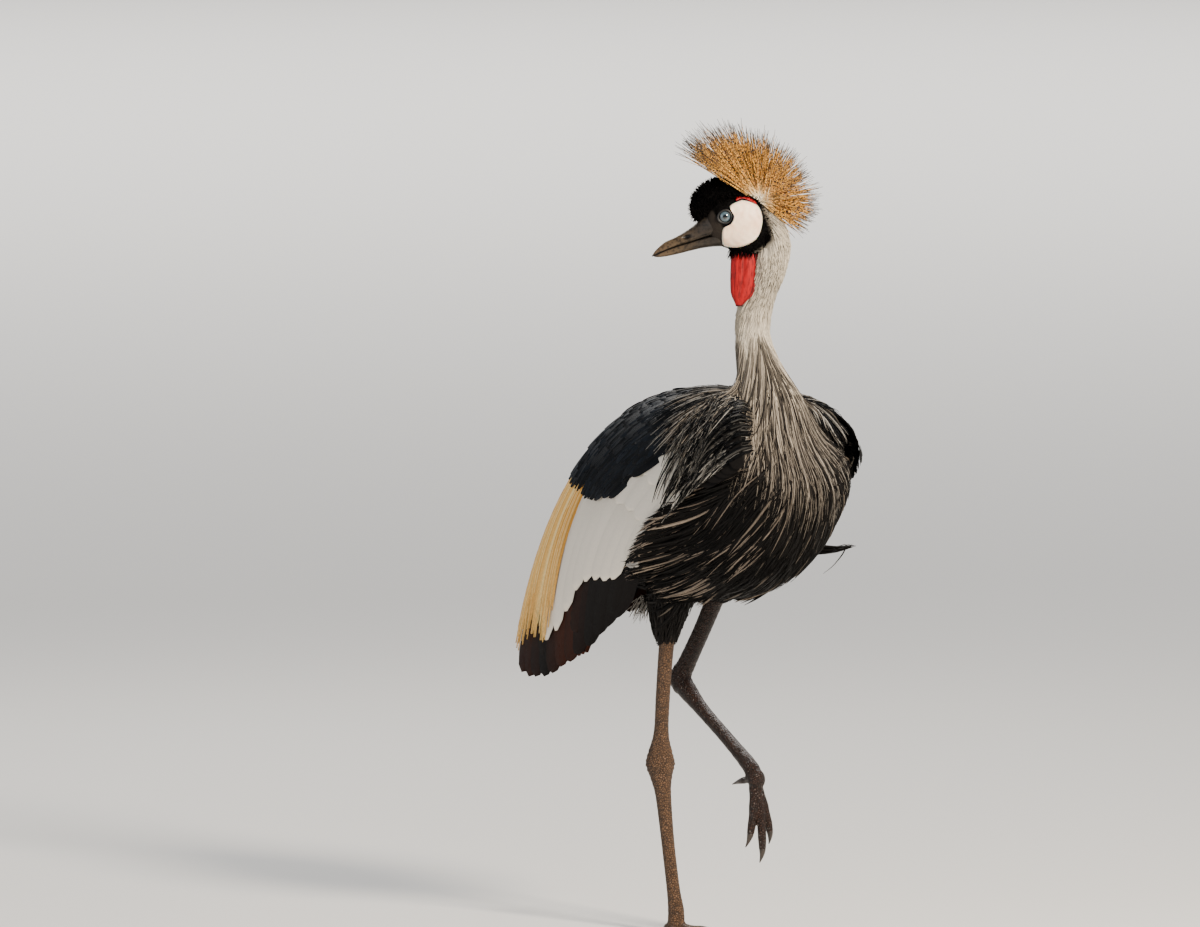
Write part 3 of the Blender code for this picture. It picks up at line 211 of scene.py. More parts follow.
# Toes: name, spread from the middle toe, length, root radius, tip radius, number of pads
TOES = (
    ("inner", math.radians(37), 0.066, 0.0066, 0.0044, 3),
    ("middle", 0.0, 0.086, 0.0070, 0.0044, 4),
    ("outer", math.radians(-37), 0.068, 0.0066, 0.0044, 4),
    ("hind", math.radians(168), 0.034, 0.0052, 0.0038, 2),
)
# The toes' lowest line as a share of their radius, their pads' swelling, the hind toe's height, bend and
# curl, the ball of the foot, and the claws
SOLE = 0.88
TOE_PADS = 0.08
HIND_HEIGHT = 0.011
HIND_BEND = (10, 75)
HIND_CURL = 0.3
LIFTED_SPREAD = 0.35
PAD_HEIGHT = 0.0100
PAD_HALF = (0.0135, 0.0115, 0.0105)
CLAW_LONG = 0.014
CLAW_ROOT = 0.80
CLAW_TIP = 0.0006
LIFTED_CLAW_DROP = 0.006
# How far over the floor the soles and claws stand
FLOOR_GAP = 0.0003

# Skins: how deep they lie under the wing's sheet, how far the coverts' faces stand over it, and the size of
# the small quads of the body, of the body with its coverts, and of head and legs
ARM_UNDER = 0.0060
COVERTS_OVER = 0.0062
SKIN_CELL = 0.0032
COVER_CELL = 0.0042
FINE_CELL = 0.0013

# Half the floor's side, so wide that no edge of it shows
FLOOR_HALF = 70.0

# Side of a feather's patch on the OFBake map
TUFT_PATCH = 0.003
VANE_PATCH = 0.03


def along(stations, t):
    """The smooth curve through the stations, at places t from 0 to 1."""
    t = np.clip(np.asarray(t, float), 0.0, 1.0)
    last = len(stations) - 1
    i = np.minimum((t * last).astype(int), last - 1)
    f = (t * last - i)[..., None]
    p, q, r, s = (stations[j] for j in (np.maximum(i - 1, 0), i, i + 1, np.minimum(i + 2, last)))
    return q + 0.5 * f * (r - p + f * (2 * p - 5 * q + 4 * r - s + f * (3 * (q - r) + s - p)))


def unit(vectors):
    """Vectors scaled to a length of 1."""
    return vectors / np.maximum(np.linalg.norm(vectors, axis=-1, keepdims=True), 1e-9)


def power(values, exponent):
    """Power that keeps the sign, for boxy or pointed rings."""
    return np.sign(values) * np.abs(values) ** exponent


def colour(code):
    """Linear colour of an sRGB hex code."""
    values = [int(code[i : i + 2], 16) / 255 for i in (1, 3, 5)]
    return np.array([v / 12.92 if v <= 0.04045 else ((v + 0.055) / 1.055) ** 2.4 for v in values])


def mix(a, b, share):
    """Colours between a and b."""
    share = np.asarray(share, float)[..., None]
    return a * (1 - share) + b * share


HEAD = Matrix.Translation(HEAD_PLACE)
HEAD = HEAD @ Matrix.Rotation(HEAD_TURN, 4, "Z") @ Matrix.Rotation(HEAD_PITCH, 4, "Y")
HEAD_ROWS = np.array(HEAD)
# From the bird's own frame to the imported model's
low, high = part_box("eye_left")
SHIFT = (low + high) / 2 - HEAD @ Vector((0.0, EYE_OUT, 0.0))


def from_head(points):
    """Points of the head's frame in the bird's."""
    return points @ HEAD_ROWS[:3, :3].T + HEAD_ROWS[:3, 3]


def to_head(points):
    """Points of the bird's frame in the head's."""
    return (points - HEAD_ROWS[:3, 3]) @ HEAD_ROWS[:3, :3]


# Materials


def add(tree, kind, settings=(), links=()):
    """A node with its settings, and with its inputs set to values or linked to sockets. The stops of a ramp
    are a setting too, of places with a colour or a grey."""
    made = tree.nodes.new(kind)
    for name, value in dict(settings).items():
        if name != "stops":
            setattr(made, name, value)
            continue
        elements = made.color_ramp.elements
        while len(elements) < len(value):
            elements.new(0.5)
        for element, (place, tint) in zip(elements, value):
            element.position = place
            element.color = (*tint, 1.0) if np.ndim(tint) else (tint, tint, tint, 1.0)
    for name, value in dict(links).items():
        if isinstance(value, bpy.types.NodeSocket):
            tree.links.new(value, made.inputs[name])
        else:
            made.inputs[name].default_value = value
    return made


def finish(name, shader):
    """A new material, its node tree and its shader with these constant inputs."""
    look = bpy.data.materials.new(name)
    look.use_nodes = True
    tree = look.node_tree
    principled = tree.nodes["Principled BSDF"]
    for key, value in shader.items():
        principled.inputs[key].default_value = value
    return look, tree, principled


def grained(tree, shader, scale, detail, strength, distance, place=None, rough=0.5):
    """Fine relief on the object's own coordinates, or on the given ones. Returns its pattern."""
    place = place or add(tree, "ShaderNodeTexCoord").outputs["Object"]
    pattern = add(tree, "ShaderNodeTexNoise", {}, {
        "Vector": place, "Scale": scale, "Detail": detail, "Roughness": rough}).outputs["Fac"]
    bump = add(tree, "ShaderNodeBump", {}, {"Height": pattern, "Strength": strength, "Distance": distance})
    tree.links.new(bump.outputs["Normal"], shader.inputs["Normal"])
    return pattern


def mottled(tree, tint, pattern, dark, pale):
    """A colour darkened and lightened by a pattern."""
    shade = add(tree, "ShaderNodeMapRange", {}, {
        "Value": pattern, "From Min": 0.3, "From Max": 0.7, "To Min": dark, "To Max": pale})
    return add(tree, "ShaderNodeVectorMath", {"operation": "SCALE"}, {
        0: tint, "Scale": shade.outputs["Result"]}).outputs[0]


def feather_look(name, roughness, gloss, streak, depth, lean):
    """Feather: keratin barbs on a shaft. Streak is their spacing across the vane in cm, depth how much they
    darken, and lean how far they run out from the shaft."""
    look, tree, shader = finish(name, {"Roughness": roughness, "Specular IOR Level": gloss})
    tint = add(tree, "ShaderNodeAttribute", {"attribute_name": "tint"})
    place = add(tree, "ShaderNodeUVMap", {"uv_map": "Barbs"})
    parts = add(tree, "ShaderNodeSeparateXYZ", {}, {"Vector": place.outputs["UV"]})
    across, down = parts.outputs["X"], parts.outputs["Y"]
    side = add(tree, "ShaderNodeMath", {"operation": "ABSOLUTE"}, {0: across})
    out = add(tree, "ShaderNodeMath", {"operation": "MULTIPLY"}, {0: side.outputs[0], 1: lean})
    lead = add(tree, "ShaderNodeMath", {"operation": "SUBTRACT"}, {0: down, 1: out.outputs[0]})
    # A barb runs along the coordinate across it, so the pattern is drawn out along the vane
    cell = add(tree, "ShaderNodeCombineXYZ", {}, {
        name: add(tree, "ShaderNodeMath", {"operation": "DIVIDE"}, {0: value, 1: long}).outputs[0]
        for name, value, long in (("X", across, streak), ("Y", lead.outputs[0], streak * 6))
    })
    barbs = add(tree, "ShaderNodeTexNoise", {"noise_dimensions": "2D"}, {
        "Vector": cell.outputs[0], "Scale": 1.0, "Detail": 3.0, "Roughness": 0.6}).outputs["Fac"]
    both = mottled(tree, tint.outputs["Color"], barbs, 1.0 - depth, 1.0 + depth * 0.5)
    tree.links.new(both, shader.inputs["Base Color"])
    bump = add(tree, "ShaderNodeBump", {}, {"Height": barbs, "Strength": 0.5, "Distance": 0.0006})
    tree.links.new(bump.outputs["Normal"], shader.inputs["Normal"])
    return look


# Meshes


def keep(thing, look):
    """Sets a finished mesh's material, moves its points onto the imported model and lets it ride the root."""
    mesh = thing.data
    mesh.materials.clear()
    mesh.materials.append(look)
    mesh.transform(Matrix.Translation(SHIFT))
    mesh.shade_smooth()
    mesh.update()
    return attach(thing, "root")


def linked(name, data):
    """An object of its own for this mesh, light or camera."""
    thing = bpy.data.objects.new(name, data)
    bpy.context.scene.collection.objects.link(thing)
    return thing


def new_thing(name, form):
    """An object with the mesh of a finished form."""
    mesh = bpy.data.meshes.new(name)
    form.to_mesh(mesh)
    form.free()
    return linked(name, mesh)


def rolled(form, across, steps, place):
    """A grid rolled into a closed tube: place gives the points at u round it and v along it, from 0 to 1."""
    made = bmesh.ops.create_grid(form, x_segments=across, y_segments=steps, size=0.5)["verts"]
    flat = np.array([corner.co[:] for corner in made])
    spots = place(flat[:, 0] + 0.5, flat[:, 1] + 0.5)
    for corner, spot in zip(made, spots):
        corner.co = spot
    bmesh.ops.remove_doubles(form, verts=made, dist=2e-6)


def closed(name, form):
    """An object of this form, with its open ends filled and its faces turned outwards."""
    bmesh.ops.holes_fill(form, edges=[edge for edge in form.edges if edge.is_boundary], sides=0)
    bmesh.ops.recalc_face_normals(form, faces=form.faces)
    return new_thing(name, form)


def lofted(name, *lofts):
    """A closed piece of lofts, each given by its points round it, its steps and their places."""
    form = bmesh.new()
    for across, steps, place in lofts:
        rolled(form, across, steps, place)
    return closed(name, form)


def rounded(v, start, end):
    """Share of a loft's width near its ends, where it closes in a dome."""
    near = np.clip(v / start, 0.0, 1.0)
    far = np.clip((1 - v) / end, 0.0, 1.0)
    return np.sqrt(np.clip(1 - (1 - near) ** 2, 0, 1)) * np.sqrt(np.clip(1 - (1 - far) ** 2, 0, 1))


def body_points(s, turn, inset=0.0):
    """Points on the body: s from vent to breast, turn from the ridge of the back, left side positive."""
    x, top, bottom, half = np.moveaxis(along(BODY, s), -1, 0)
    top, bottom, half = top - inset, bottom + inset, np.maximum(half - inset, 0.002)
    share = BODY_WIDEST[0] + (BODY_WIDEST[1] - BODY_WIDEST[0]) * np.maximum(s - 0.6, 0.0) / 0.4
    middle = bottom + share * (top - bottom)
    c, n = np.cos(turn), np.sin(turn)
    y = half * power(n, BODY_BOX)
    z = middle + np.where(c > 0, top - middle, middle - bottom) * power(c, BODY_BOX)
    return np.stack([x, y, z], -1)


def limb_points(stations, t, turn, grow=0.0):
    """Points round a limb: t along its stations, turn round it from the front, radius changed by grow."""
    spot = along(stations, t)
    ahead = along(stations, np.minimum(t + 0.01, 1.0)) - along(stations, np.maximum(t - 0.01, 0.0))
    ahead = unit(ahead[..., :3])
    front = np.zeros_like(ahead)
    front[..., 0] = 1.0
    front = unit(front - ahead * ahead[..., :1])
    side = np.cross(ahead, front)
    radius = (spot[..., 3] + grow)[..., None]
    return spot[..., :3] + (front * np.cos(turn)[..., None] + side * np.sin(turn)[..., None]) * radius


def head_ring(stations, u, v, boxy, inset=0.0):
    """Points of a loft in the head's frame: u round it, v along its stations."""
    x, top, bottom, half = np.moveaxis(along(stations, v), -1, 0)
    close = rounded(v, 0.05, 0.03)
    middle = (top + bottom) / 2
    c, s = np.cos(math.tau * u), np.sin(math.tau * u)
    y = (half - inset) * close * power(s, boxy)
    z = middle + (top - middle - inset) * close * power(c, boxy)
    return np.stack([x, y, z], -1)


def wing_points(side, row, reach):
    """Points of the wing's outer sheet: row from the front lower edge to the ridge of the back, reach from
    the shoulder to the tips. Side is -1 on the right."""
    def weights(t):
        t = np.asarray(t, float)
        return np.stack([(1 - t) ** 3, 3 * (1 - t) ** 2 * t, 3 * (1 - t) * t**2, t**3], -1)

    row, reach = np.broadcast_arrays(np.asarray(row, float), np.asarray(reach, float))
    spots = np.einsum("...i,...j,ijk->...k", weights(row), weights(reach), WING)
    if side > 0:
        spots[..., 2] += LEFT_TUCK * reach**2 * (1 - 0.5 * row)
        spots[..., 1] *= 1 - LEFT_CLOSE * reach**2
    spots[..., 1] *= side
    return spots


def wing_outs(side, row, reach):
    """The sheet's outward directions."""
    step = 0.01
    row, reach = np.clip(row, 0, 1), np.clip(reach, 0, 1)
    up = wing_points(side, np.minimum(row + step, 1), reach)
    up = up - wing_points(side, np.maximum(row - step, 0), reach)
    out = wing_points(side, row, np.minimum(reach + step, 1))
    out = out - wing_points(side, row, np.maximum(reach - step, 0))
    return unit(np.cross(up, out)) * -side


def wing_slab(side, part, outside):
    """A closed slab under the wing's sheet, its outer face at this depth: the folded arm or the flights."""
    rows, reaches, inside = part

    def place(u, v):
        reach = reaches[0] + reaches[1] * v
        row = rows[0] + rows[1] * np.where(u < 0.5, u * 2, 2 - u * 2)
        share = np.maximum(1 - reach / reaches[1], 0) * np.maximum(row, 0) ** 0.5
        depth = np.where(u < 0.5, outside, inside[0] + (inside[1] - inside[0]) * share)
        return wing_points(side, row, reach) - wing_outs(side, row, reach) * depth[:, None]

    return place


def remeshed(thing, size, smooth):
    """Fuses the closed lofts of a mesh into one skin of small quads, and smooths it."""
    change = thing.modifiers.new("Fuse", "REMESH")
    change.mode = "VOXEL"
    change.voxel_size = size
    soften = thing.modifiers.new("Soften", "SMOOTH")
    soften.factor = 0.5
    soften.iterations = smooth
    mesh = bpy.data.meshes.new_from_object(thing.evaluated_get(bpy.context.evaluated_depsgraph_get()))
    thing.modifiers.clear()
    thing.data = mesh
    return thing


def breast_tuck(s, turn):
    """How far the skin lies in, low on each side of the breast, where the plumes over it hang free."""
    turned = np.abs(np.degrees((turn + math.pi) % math.tau - math.pi))
    near = np.clip(1 - np.abs(s - TUCK_PLACE) / TUCK_LONG, 0, 1)
    near = near * np.clip(1 - np.abs(turned - TUCK_TURN) / TUCK_HALF, 0, 1)
    return TUCK_DEPTH * near * near * (3 - 2 * near)


def make_body_skin(outside, voxel):
    """Body, lower neck, thighs and folded arms as one skin. Outside is the depth of an arm's outer face under
    the wing's sheet. Over the sheet, the flights' front edge comes with it."""
    lofts = [
        (72, 60, lambda u, v: body_points(v, u * math.tau, COAT_DEPTH + breast_tuck(v, u * math.tau))),
        (48, 90, lambda u, v: limb_points(NECK, v, u * math.tau, -NECK_DEPTH)),
    ]
    for thigh in (RIGHT_THIGH, LEFT_THIGH):
        lofts.append((36, 24, lambda u, v, thigh=thigh: limb_points(thigh, v, u * math.tau, -COAT_DEPTH)))
    for side in (-1, 1):
        lofts.append((48, 40, wing_slab(side, ARM, outside)))
        if outside < 0:
            lofts.append((32, 30, wing_slab(side, FLIGHTS_EDGE, outside)))
    return remeshed(lofted("skin_form", *lofts), voxel, 6)


def head_half(x, z):
    """Half width of the head's skin at a place in its side view."""
    order = np.argsort(SKULL[:, 0])
    fine = along(SKULL[order], np.linspace(0, 1, 200))
    top, bottom, half = (np.interp(x, fine[:, 0], fine[:, i]) for i in (1, 2, 3))
    middle = (top + bottom) / 2
    c = np.clip(np.abs((z - middle) / np.maximum(top - middle, 1e-4)), 0, 0.995) ** (1 / 0.92)
    return half * np.sqrt(1 - c**2) ** 0.92


def make_head_skin():
    """Head and top of the neck, with hollows for the eyes and a fold round each."""
    thing = remeshed(lofted(
        "head_form",
        (64, 60, lambda u, v: from_head(head_ring(SKULL, u, v, 0.92))),
        (48, 40, lambda u, v: limb_points(NECK, 0.72 + 0.28 * v, u * math.tau, -NECK_DEPTH * 0.8)),
    ), FINE_CELL, 8)
    local = to_head(mesh_points(thing.data))
    side = np.sign(local[:, 1]) * (np.abs(local[:, 1]) > HEAD_SIDE)
    far = np.hypot(local[:, 0], local[:, 2])
    local[:, 1] -= side * np.clip(1 - (far / SOCKET_RADIUS) ** 4, 0, 1) * SOCKET_DEPTH
    side = side * (np.abs(local[:, 1]) > HEAD_SIDE)
    local[:, 1] += side * np.exp(-(((far - FOLD_RADIUS) / FOLD_HALF) ** 2)) * FOLD_RAISED
    thing.data.vertices.foreach_set("co", from_head(local).ravel())
    return thing


def surface(things):
    """A tree for finding the nearest place on these meshes."""
    points, faces = [], []
    for thing in things:
        start = len(points)
        points += [corner.co.copy() for corner in thing.data.vertices]
        faces += [[start + i for i in face.vertices] for face in thing.data.polygons]
    return BVHTree.FromPolygons(points, faces)


def vertex_colours(mesh, name, values):
    """Colours for each vertex, under a name that a material reads."""
    made = mesh.attributes.new(name, "FLOAT_COLOR", "POINT")
    rows = np.ones((len(values), 4), np.float32)
    rows[:, :3] = values
    made.data.foreach_set("color", rows.ravel())


def vertex_values(mesh, name, values):
    """Single values for each vertex, under a name that a material reads."""
    mesh.attributes.new(name, "FLOAT", "POINT").data.foreach_set("value", np.asarray(values, np.float32))


def mesh_points(mesh):
    """The mesh's points, one row each."""
    spots = np.zeros(len(mesh.vertices) * 3)
    mesh.vertices.foreach_get("co", spots)
    return spots.reshape(-1, 3)


def set_map(mesh, name, rows):
    """A UV map whose values are given for each vertex."""
    corners = np.zeros(len(mesh.loops), np.int32)
    mesh.loops.foreach_get("vertex_index", corners)
    made = mesh.uv_layers.new(name=name)
    made.data.foreach_set("uv", np.asarray(rows, np.float32)[corners].ravel())


def blades(name, look, tops, outs, thick, tints, seats, patch=TUFT_PATCH):
    """Many feathers as one mesh. Tops (feather, step, across, xyz) are the points of their upper faces from
    root to tip and edge to edge, outs (feather, step, xyz) point off the coat. One with three points across
    is a low ridge that is flat below, a wider one is a thin blade. Seats are the roots' places on the skin's
    unwrap."""
    count, steps, across = tops.shape[:3]
    share = np.linspace(-1, 1, across)
    rings = tops
    if across > 3:
        under = tops - outs[:, :, None] * (thick * (1 - share**2))[None, None, :, None]
        rings = np.concatenate([tops, under[:, :, across - 2 : 0 : -1]], 2)
    sides = rings.shape[2]
    order = list(range(across)) + list(range(across - 2, 0, -1))
    order = order[:sides]
    step = np.arange(steps - 1)[:, None] * sides
    j = np.arange(sides)[None, :]
    k = (j + 1) % sides
    quads = np.stack([step + j, step + sides + j, step + sides + k, step + k], -1).reshape(-1, 4)
    ends = np.stack([np.arange(sides), (steps - 1) * sides + np.arange(sides)[::-1]])
    way = np.cross(tops[:, 0, -1] - tops[:, 0, 0], tops[:, -1, across // 2] - tops[:, 0, across // 2])
    if np.sum(way * outs[:, 0]) > 0:
        quads, ends = quads[:, ::-1], ends[:, ::-1]
    first = (np.arange(count) * steps * sides)[:, None, None]
    faces = (first + quads[None]).reshape(-1, 4).tolist() + (first + ends[None]).reshape(-1, sides).tolist()
    mesh = bpy.data.meshes.new(name)
    mesh.from_pydata(rings.reshape(-1, 3).tolist(), [], faces)
    if across > 3:
        # The two rims stay sharp, so that a vane's face isn't shaded round at its sides
        ends = np.zeros(len(mesh.edges) * 2, np.int32)
        mesh.edges.foreach_get("vertices", ends)
        column = ends.reshape(-1, 2) % sides
        rim = (column[:, 0] == column[:, 1]) & ((column[:, 0] == 0) | (column[:, 0] == across - 1))
        mesh.attributes.new("sharp_edge", "BOOLEAN", "EDGE").data.foreach_set("value", rim)
    vertex_colours(mesh, "tint", tints[:, :, order].reshape(-1, 3))
    a = np.broadcast_to(share[order], rings.shape[:3])
    t = np.broadcast_to(np.linspace(0, 1, steps)[None, :, None], rings.shape[:3])
    wide = np.linalg.norm(tops[:, :, -1] - tops[:, :, 0], axis=-1)[:, :, None] * 50
    reach = np.linalg.norm(np.diff(tops[:, :, across // 2], axis=1), axis=-1)
    reach = np.concatenate([np.zeros((count, 1)), np.cumsum(reach, 1)], 1)[:, :, None] * 100
    drift = np.arange(count)[:, None, None] * 3.7
    set_map(mesh, "Barbs", np.stack([a * wide, np.broadcast_to(reach, a.shape) + drift], -1).reshape(-1, 2))
    seats = np.clip(seats, 0, 1) * (0.98 - patch) + 0.01
    spot = seats[:, None, None] + np.stack([(a + 1) / 2, t], -1) * patch
    set_map(mesh, "OFBake", spot.reshape(-1, 2))
    thing = bpy.data.objects.new(name, mesh)
    bpy.context.scene.collection.objects.link(thing)
    return keep(thing, look)


def nearest(tree, points):
    """The nearest places on a surface to these points, and its outward directions there."""
    found = [tree.find_nearest(Vector(point)) for point in points]
    return np.array([hit[0] for hit in found]), np.array([hit[1] for hit in found])


def plume_tops(spines, outs, half, ridge):
    """Upper faces of slender feathers: two edges and a low ridge between them."""
    ahead = np.gradient(spines, axis=1)
    across = unit(np.cross(outs, ahead)) * half[..., None]
    return np.stack([spines - across, spines + outs * ridge, spines + across], 2)


def lay(tree, starts, way, lengths, steps, lifts):
    """Courses of feathers that lie on the skin: from each start they follow the direction that way gives, as
    unit vectors for points and outs, and rise off it by their lifts."""
    spines = np.zeros((len(starts), steps, 3))
    outs = np.zeros_like(spines)
    spots, normals = nearest(tree, starts)
    stride = lengths / (steps - 1)
    heading = None
    for k in range(steps):
        spines[:, k], outs[:, k] = spots, normals
        if k == steps - 1:
            break
        ahead = way(spots, normals, k / (steps - 1))
        if heading is not None:
            ahead = unit(ahead + heading)
        ahead = unit(ahead - normals * np.sum(ahead * normals, -1, keepdims=True))
        heading = ahead
        spots, normals = nearest(tree, spots + ahead * stride[:, None])
    for _ in range(2):
        outs[:, 1:-1] = unit(outs[:, :-2] + outs[:, 1:-1] * 2 + outs[:, 2:])
        spines[:, 1:-1] = (spines[:, :-2] + spines[:, 1:-1] * 2 + spines[:, 2:]) / 4
    return spines + outs * lifts[..., None], outs


def shape(profile, steps):
    """Values of a profile of (place, value) at even steps from root to tip."""
    places, values = zip(*profile)
    return np.interp(np.linspace(0, 1, steps), places, values)


def varied(draw, profile, steps, count, low, high):
    """A profile's values for each feather, scaled by a share of its own between low and high."""
    return shape(profile, steps)[None] * draw.uniform(low, high, (count, 1))


def tinted(draw, count, steps, across, stops, spread, edge=None):
    """Colours of feathers: stops of (place, colour) from root to tip, brightness varied by spread for each
    feather, and a colour for the edges."""
    places = [place for place, _ in stops]
    t = np.linspace(0, 1, steps)
    line = np.stack([np.interp(t, places, [c[i] for _, c in stops]) for i in range(3)], -1)
    rows = np.broadcast_to(line[None, :, None], (count, steps, across, 3)).copy()
    if edge is not None:
        a = np.abs(np.linspace(-1, 1, across)) ** 2
        rows = mix(rows, np.broadcast_to(edge, rows.shape), a[None, None, :] * np.ones((count, steps, 1)))
    return rows * np.exp(draw.normal(0, spread, (count, 1, 1, 1)))


# Colours
NECK_GREY = colour("#B0A696")
NECK_PALE = colour("#C8BCA8")
HACKLE = colour("#A69A8A")
HACKLE_TIP = colour("#9A8F82")
BREAST_DARK = colour("#131110")
BREAST_EDGE = colour("#857A6D")
SLATE = colour("#17191C")
# Blue sheen that is painted over a share of the slate vanes
SLATE_BLUE_SHEEN = colour("#1B222B")
COVERT = colour("#E6DDCE")
COVERT_SHADE = colour("#CDC4B6")
GOLD = colour("#EDB55A")
GOLD_PALE = colour("#F5D590")
GOLD_DEEP = colour("#D89638")
CHESTNUT = colour("#502412")
CHESTNUT_DARK = colour("#1C0A06")
FLIGHT_BLACK = colour("#0B0606")
SILVER = colour("#95918B")
FLANK_PALE = colour("#8F8173")
# Height at which the hackles end, and how far back the flank's plumes reach at each height
HACKLES_END = 0.482
FLANK_END = (
    (0.400, -0.030), (0.438, -0.035), (0.449, -0.015), (0.465, 0.002), (0.491, 0.048), (0.526, 0.089),
    (0.555, 0.117), (0.597, 0.139), (0.640, 0.170),
)
# The rounded edge in which the flank's plumes end over the wing, as x and z, from the shoulder to the thigh
FLANK_EDGE = np.array((
    (0.129, 0.567), (0.117, 0.552), (0.092, 0.532), (0.060, 0.512), (0.028, 0.481), (0.004, 0.454),
    (0.006, 0.4365), (0.017, 0.421), (0.034, 0.411), (0.052, 0.408), (0.070, 0.411),
))
# How far a flank plume may move across the bird, and how far out its tip may lie, before it is left out
FLANK_BEND = 0.07
FLANK_TIPS_OUT = 0.075
BLACK = colour("#060505")
LORE = colour("#2C2723")
CREST_GOLD = colour("#F0AE4A")
CREST_PALE = colour("#F2CB88")
CREST_BASE = colour("#E9DFC8")
CREST_SPECK = colour("#1E130B")

soft_look = feather_look("soft_grey_feather", 0.75, 0.20, 0.06, 0.18, 0.2)
plume_look = feather_look("long_breast_plume", 0.60, 0.08, 0.08, 0.25, 0.2)
slate_look = feather_look("slate_back_feather", 0.55, 0.06, 0.10, 0.25, 1.0)
white_look = feather_look("white_covert_vane", 0.70, 0.20, 0.10, 0.06, 1.0)
gold_look = feather_look("golden_plume", 0.65, 0.15, 0.07, 0.25, 0.3)
dark_look = feather_look("chestnut_flight_vane", 0.55, 0.06, 0.10, 0.35, 1.0)
velvet_look = feather_look("black_velvet_pile", 0.90, 0.02, 0.05, 0.10, 0.0)


def skin_look():
    """Skin under the coat: matt, with the coat's own markings from the mesh."""
    look, tree, shader = finish("feathered_skin", {"Roughness": 0.8, "Specular IOR Level": 0.05})
    tint = add(tree, "ShaderNodeAttribute", {"attribute_name": "tint"})
    pores = grained(tree, shader, 900.0, 2.0, 0.3, 0.0004)
    tree.links.new(mottled(tree, tint.outputs["Color"], pores, 0.75, 1.15), shader.inputs["Base Color"])
    return look


def coat_colour(points):
    """Marking of the coat at points on the skin."""
    local = to_head(points)
    rows = np.broadcast_to(BREAST_DARK, points.shape).copy()
    neck = along(NECK, np.linspace(0, 1, 60))[:, :3]
    near = np.min(np.linalg.norm(points[:, None] - neck[None], axis=-1), 1)
    high = np.clip((points[:, 2] - 0.655) / 0.03, 0, 1) * (near < 0.05)
    rows = mix(rows, NECK_GREY * 0.75, high)
    rows = mix(rows, BLACK, black_share(local))
    return mix(rows, LORE, lore_share(local))


def black_share(local):
    """Share of black at points in the head's frame: the face and a band round the cheek."""
    back = np.clip((local[:, 0] + 0.0580 - 0.10 * np.maximum(local[:, 2] + 0.02, 0)) / 0.012, 0, 1)
    low = np.clip((local[:, 2] + 0.0580 + 0.35 * (local[:, 0] + 0.02)) / 0.008, 0, 1)
    return back * low


def lore_share(local):
    """Share of the lores' bare grey skin at points in the head's frame: between eye, cap and bill."""
    front = np.clip((local[:, 0] - 0.0040 - 0.35 * np.maximum(local[:, 2] + 0.012, 0)) / 0.0025, 0, 1)
    return front * np.clip((0.012 - local[:, 2]) / 0.003, 0, 1)


body_skin = make_body_skin(ARM_UNDER, SKIN_CELL)
head_skin = make_head_skin()
coat_tree = surface([body_skin])
head_tree = surface([head_skin])
# The same with the wing's coverts on it, for the plumes that lie over them
cover_form = make_body_skin(-COVERTS_OVER, COVER_CELL)
cover_tree = surface([cover_form])
bpy.data.objects.remove(cover_form)


def make_skin():
    """One object of both skins, which overlap inside the neck's coat."""
    form = bmesh.new()
    form.from_mesh(body_skin.data)
    form.from_mesh(head_skin.data)
    skin = new_thing("skin", form)
    points = mesh_points(skin.data)
    vertex_colours(skin.data, "tint", coat_colour(points))
    for old in (body_skin, head_skin):
        bpy.data.objects.remove(old)
    keep(skin, skin_look())
    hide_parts("torso", "neck_lower", "neck_upper", "head", "thigh_left", "thigh_right")


make_skin()


def make_neck_coat():
    """Fine hair-like feathers down the neck, longer towards its foot."""
    draw = np.random.default_rng(11)
    count, steps = 4600, 6
    t = 1 - draw.random(count) ** 0.85 * 0.68
    turn = draw.random(count) * math.tau
    starts = limb_points(NECK, t, turn)
    local = to_head(starts)
    free = (black_share(local) < 0.6) | (t < 0.8)
    starts, t, turn = starts[free], t[free], turn[free]
    count = len(starts)
    fall = np.clip((0.70 - t) / 0.35, 0, 1)
    lengths = (0.020 + 0.060 * fall) * draw.uniform(0.75, 1.2, count)
    jitter = draw.normal(0, 0.10, (count, 3))

    def way(spots, normals, k):
        here = np.clip(t - k * lengths / 0.36, 0.0, 1.0)
        axis = along(NECK, np.maximum(here - 0.03, 0)) - along(NECK, np.minimum(here + 0.03, 1))
        return unit(unit(axis[:, :3]) + jitter)

    lifts = varied(draw, ((0, -0.0008), (0.2, 0.0006), (1, 0.0022)), steps, count, 0.7, 1.3)
    spines, outs = lay(coat_tree, starts, way, lengths, steps, lifts)
    half = shape(((0, 0.5), (0.3, 1.0), (0.7, 0.8), (1, 0.08)), steps)[None] * (
        0.0013 + 0.0007 * fall)[:, None]
    tops = plume_tops(spines, outs, half, 0.0004)
    tints = tinted(draw, count, steps, 3, ((0, NECK_GREY * 0.75), (0.5, NECK_GREY), (1, NECK_PALE)), 0.10)
    seats = np.stack([turn / math.tau, t], -1)
    made = blades("neck_feathers", soft_look, tops, outs, 0.0003, tints, seats)


def strands(name, tree, starts, way, lengths, steps, lifts, widths, tints, seats):
    """Slender plumes that lie on a surface, as one piece."""
    spines, outs = lay(tree, starts, way, lengths, steps, lifts)
    half = shape(((0, 0.6), (0.3, 1.0), (0.65, 0.8), (1, 0.05)), steps)[None] * widths[:, None]
    made = blades(name, plume_look, plume_tops(spines, outs, half, 0.0005), outs, 0.0003, tints, seats)


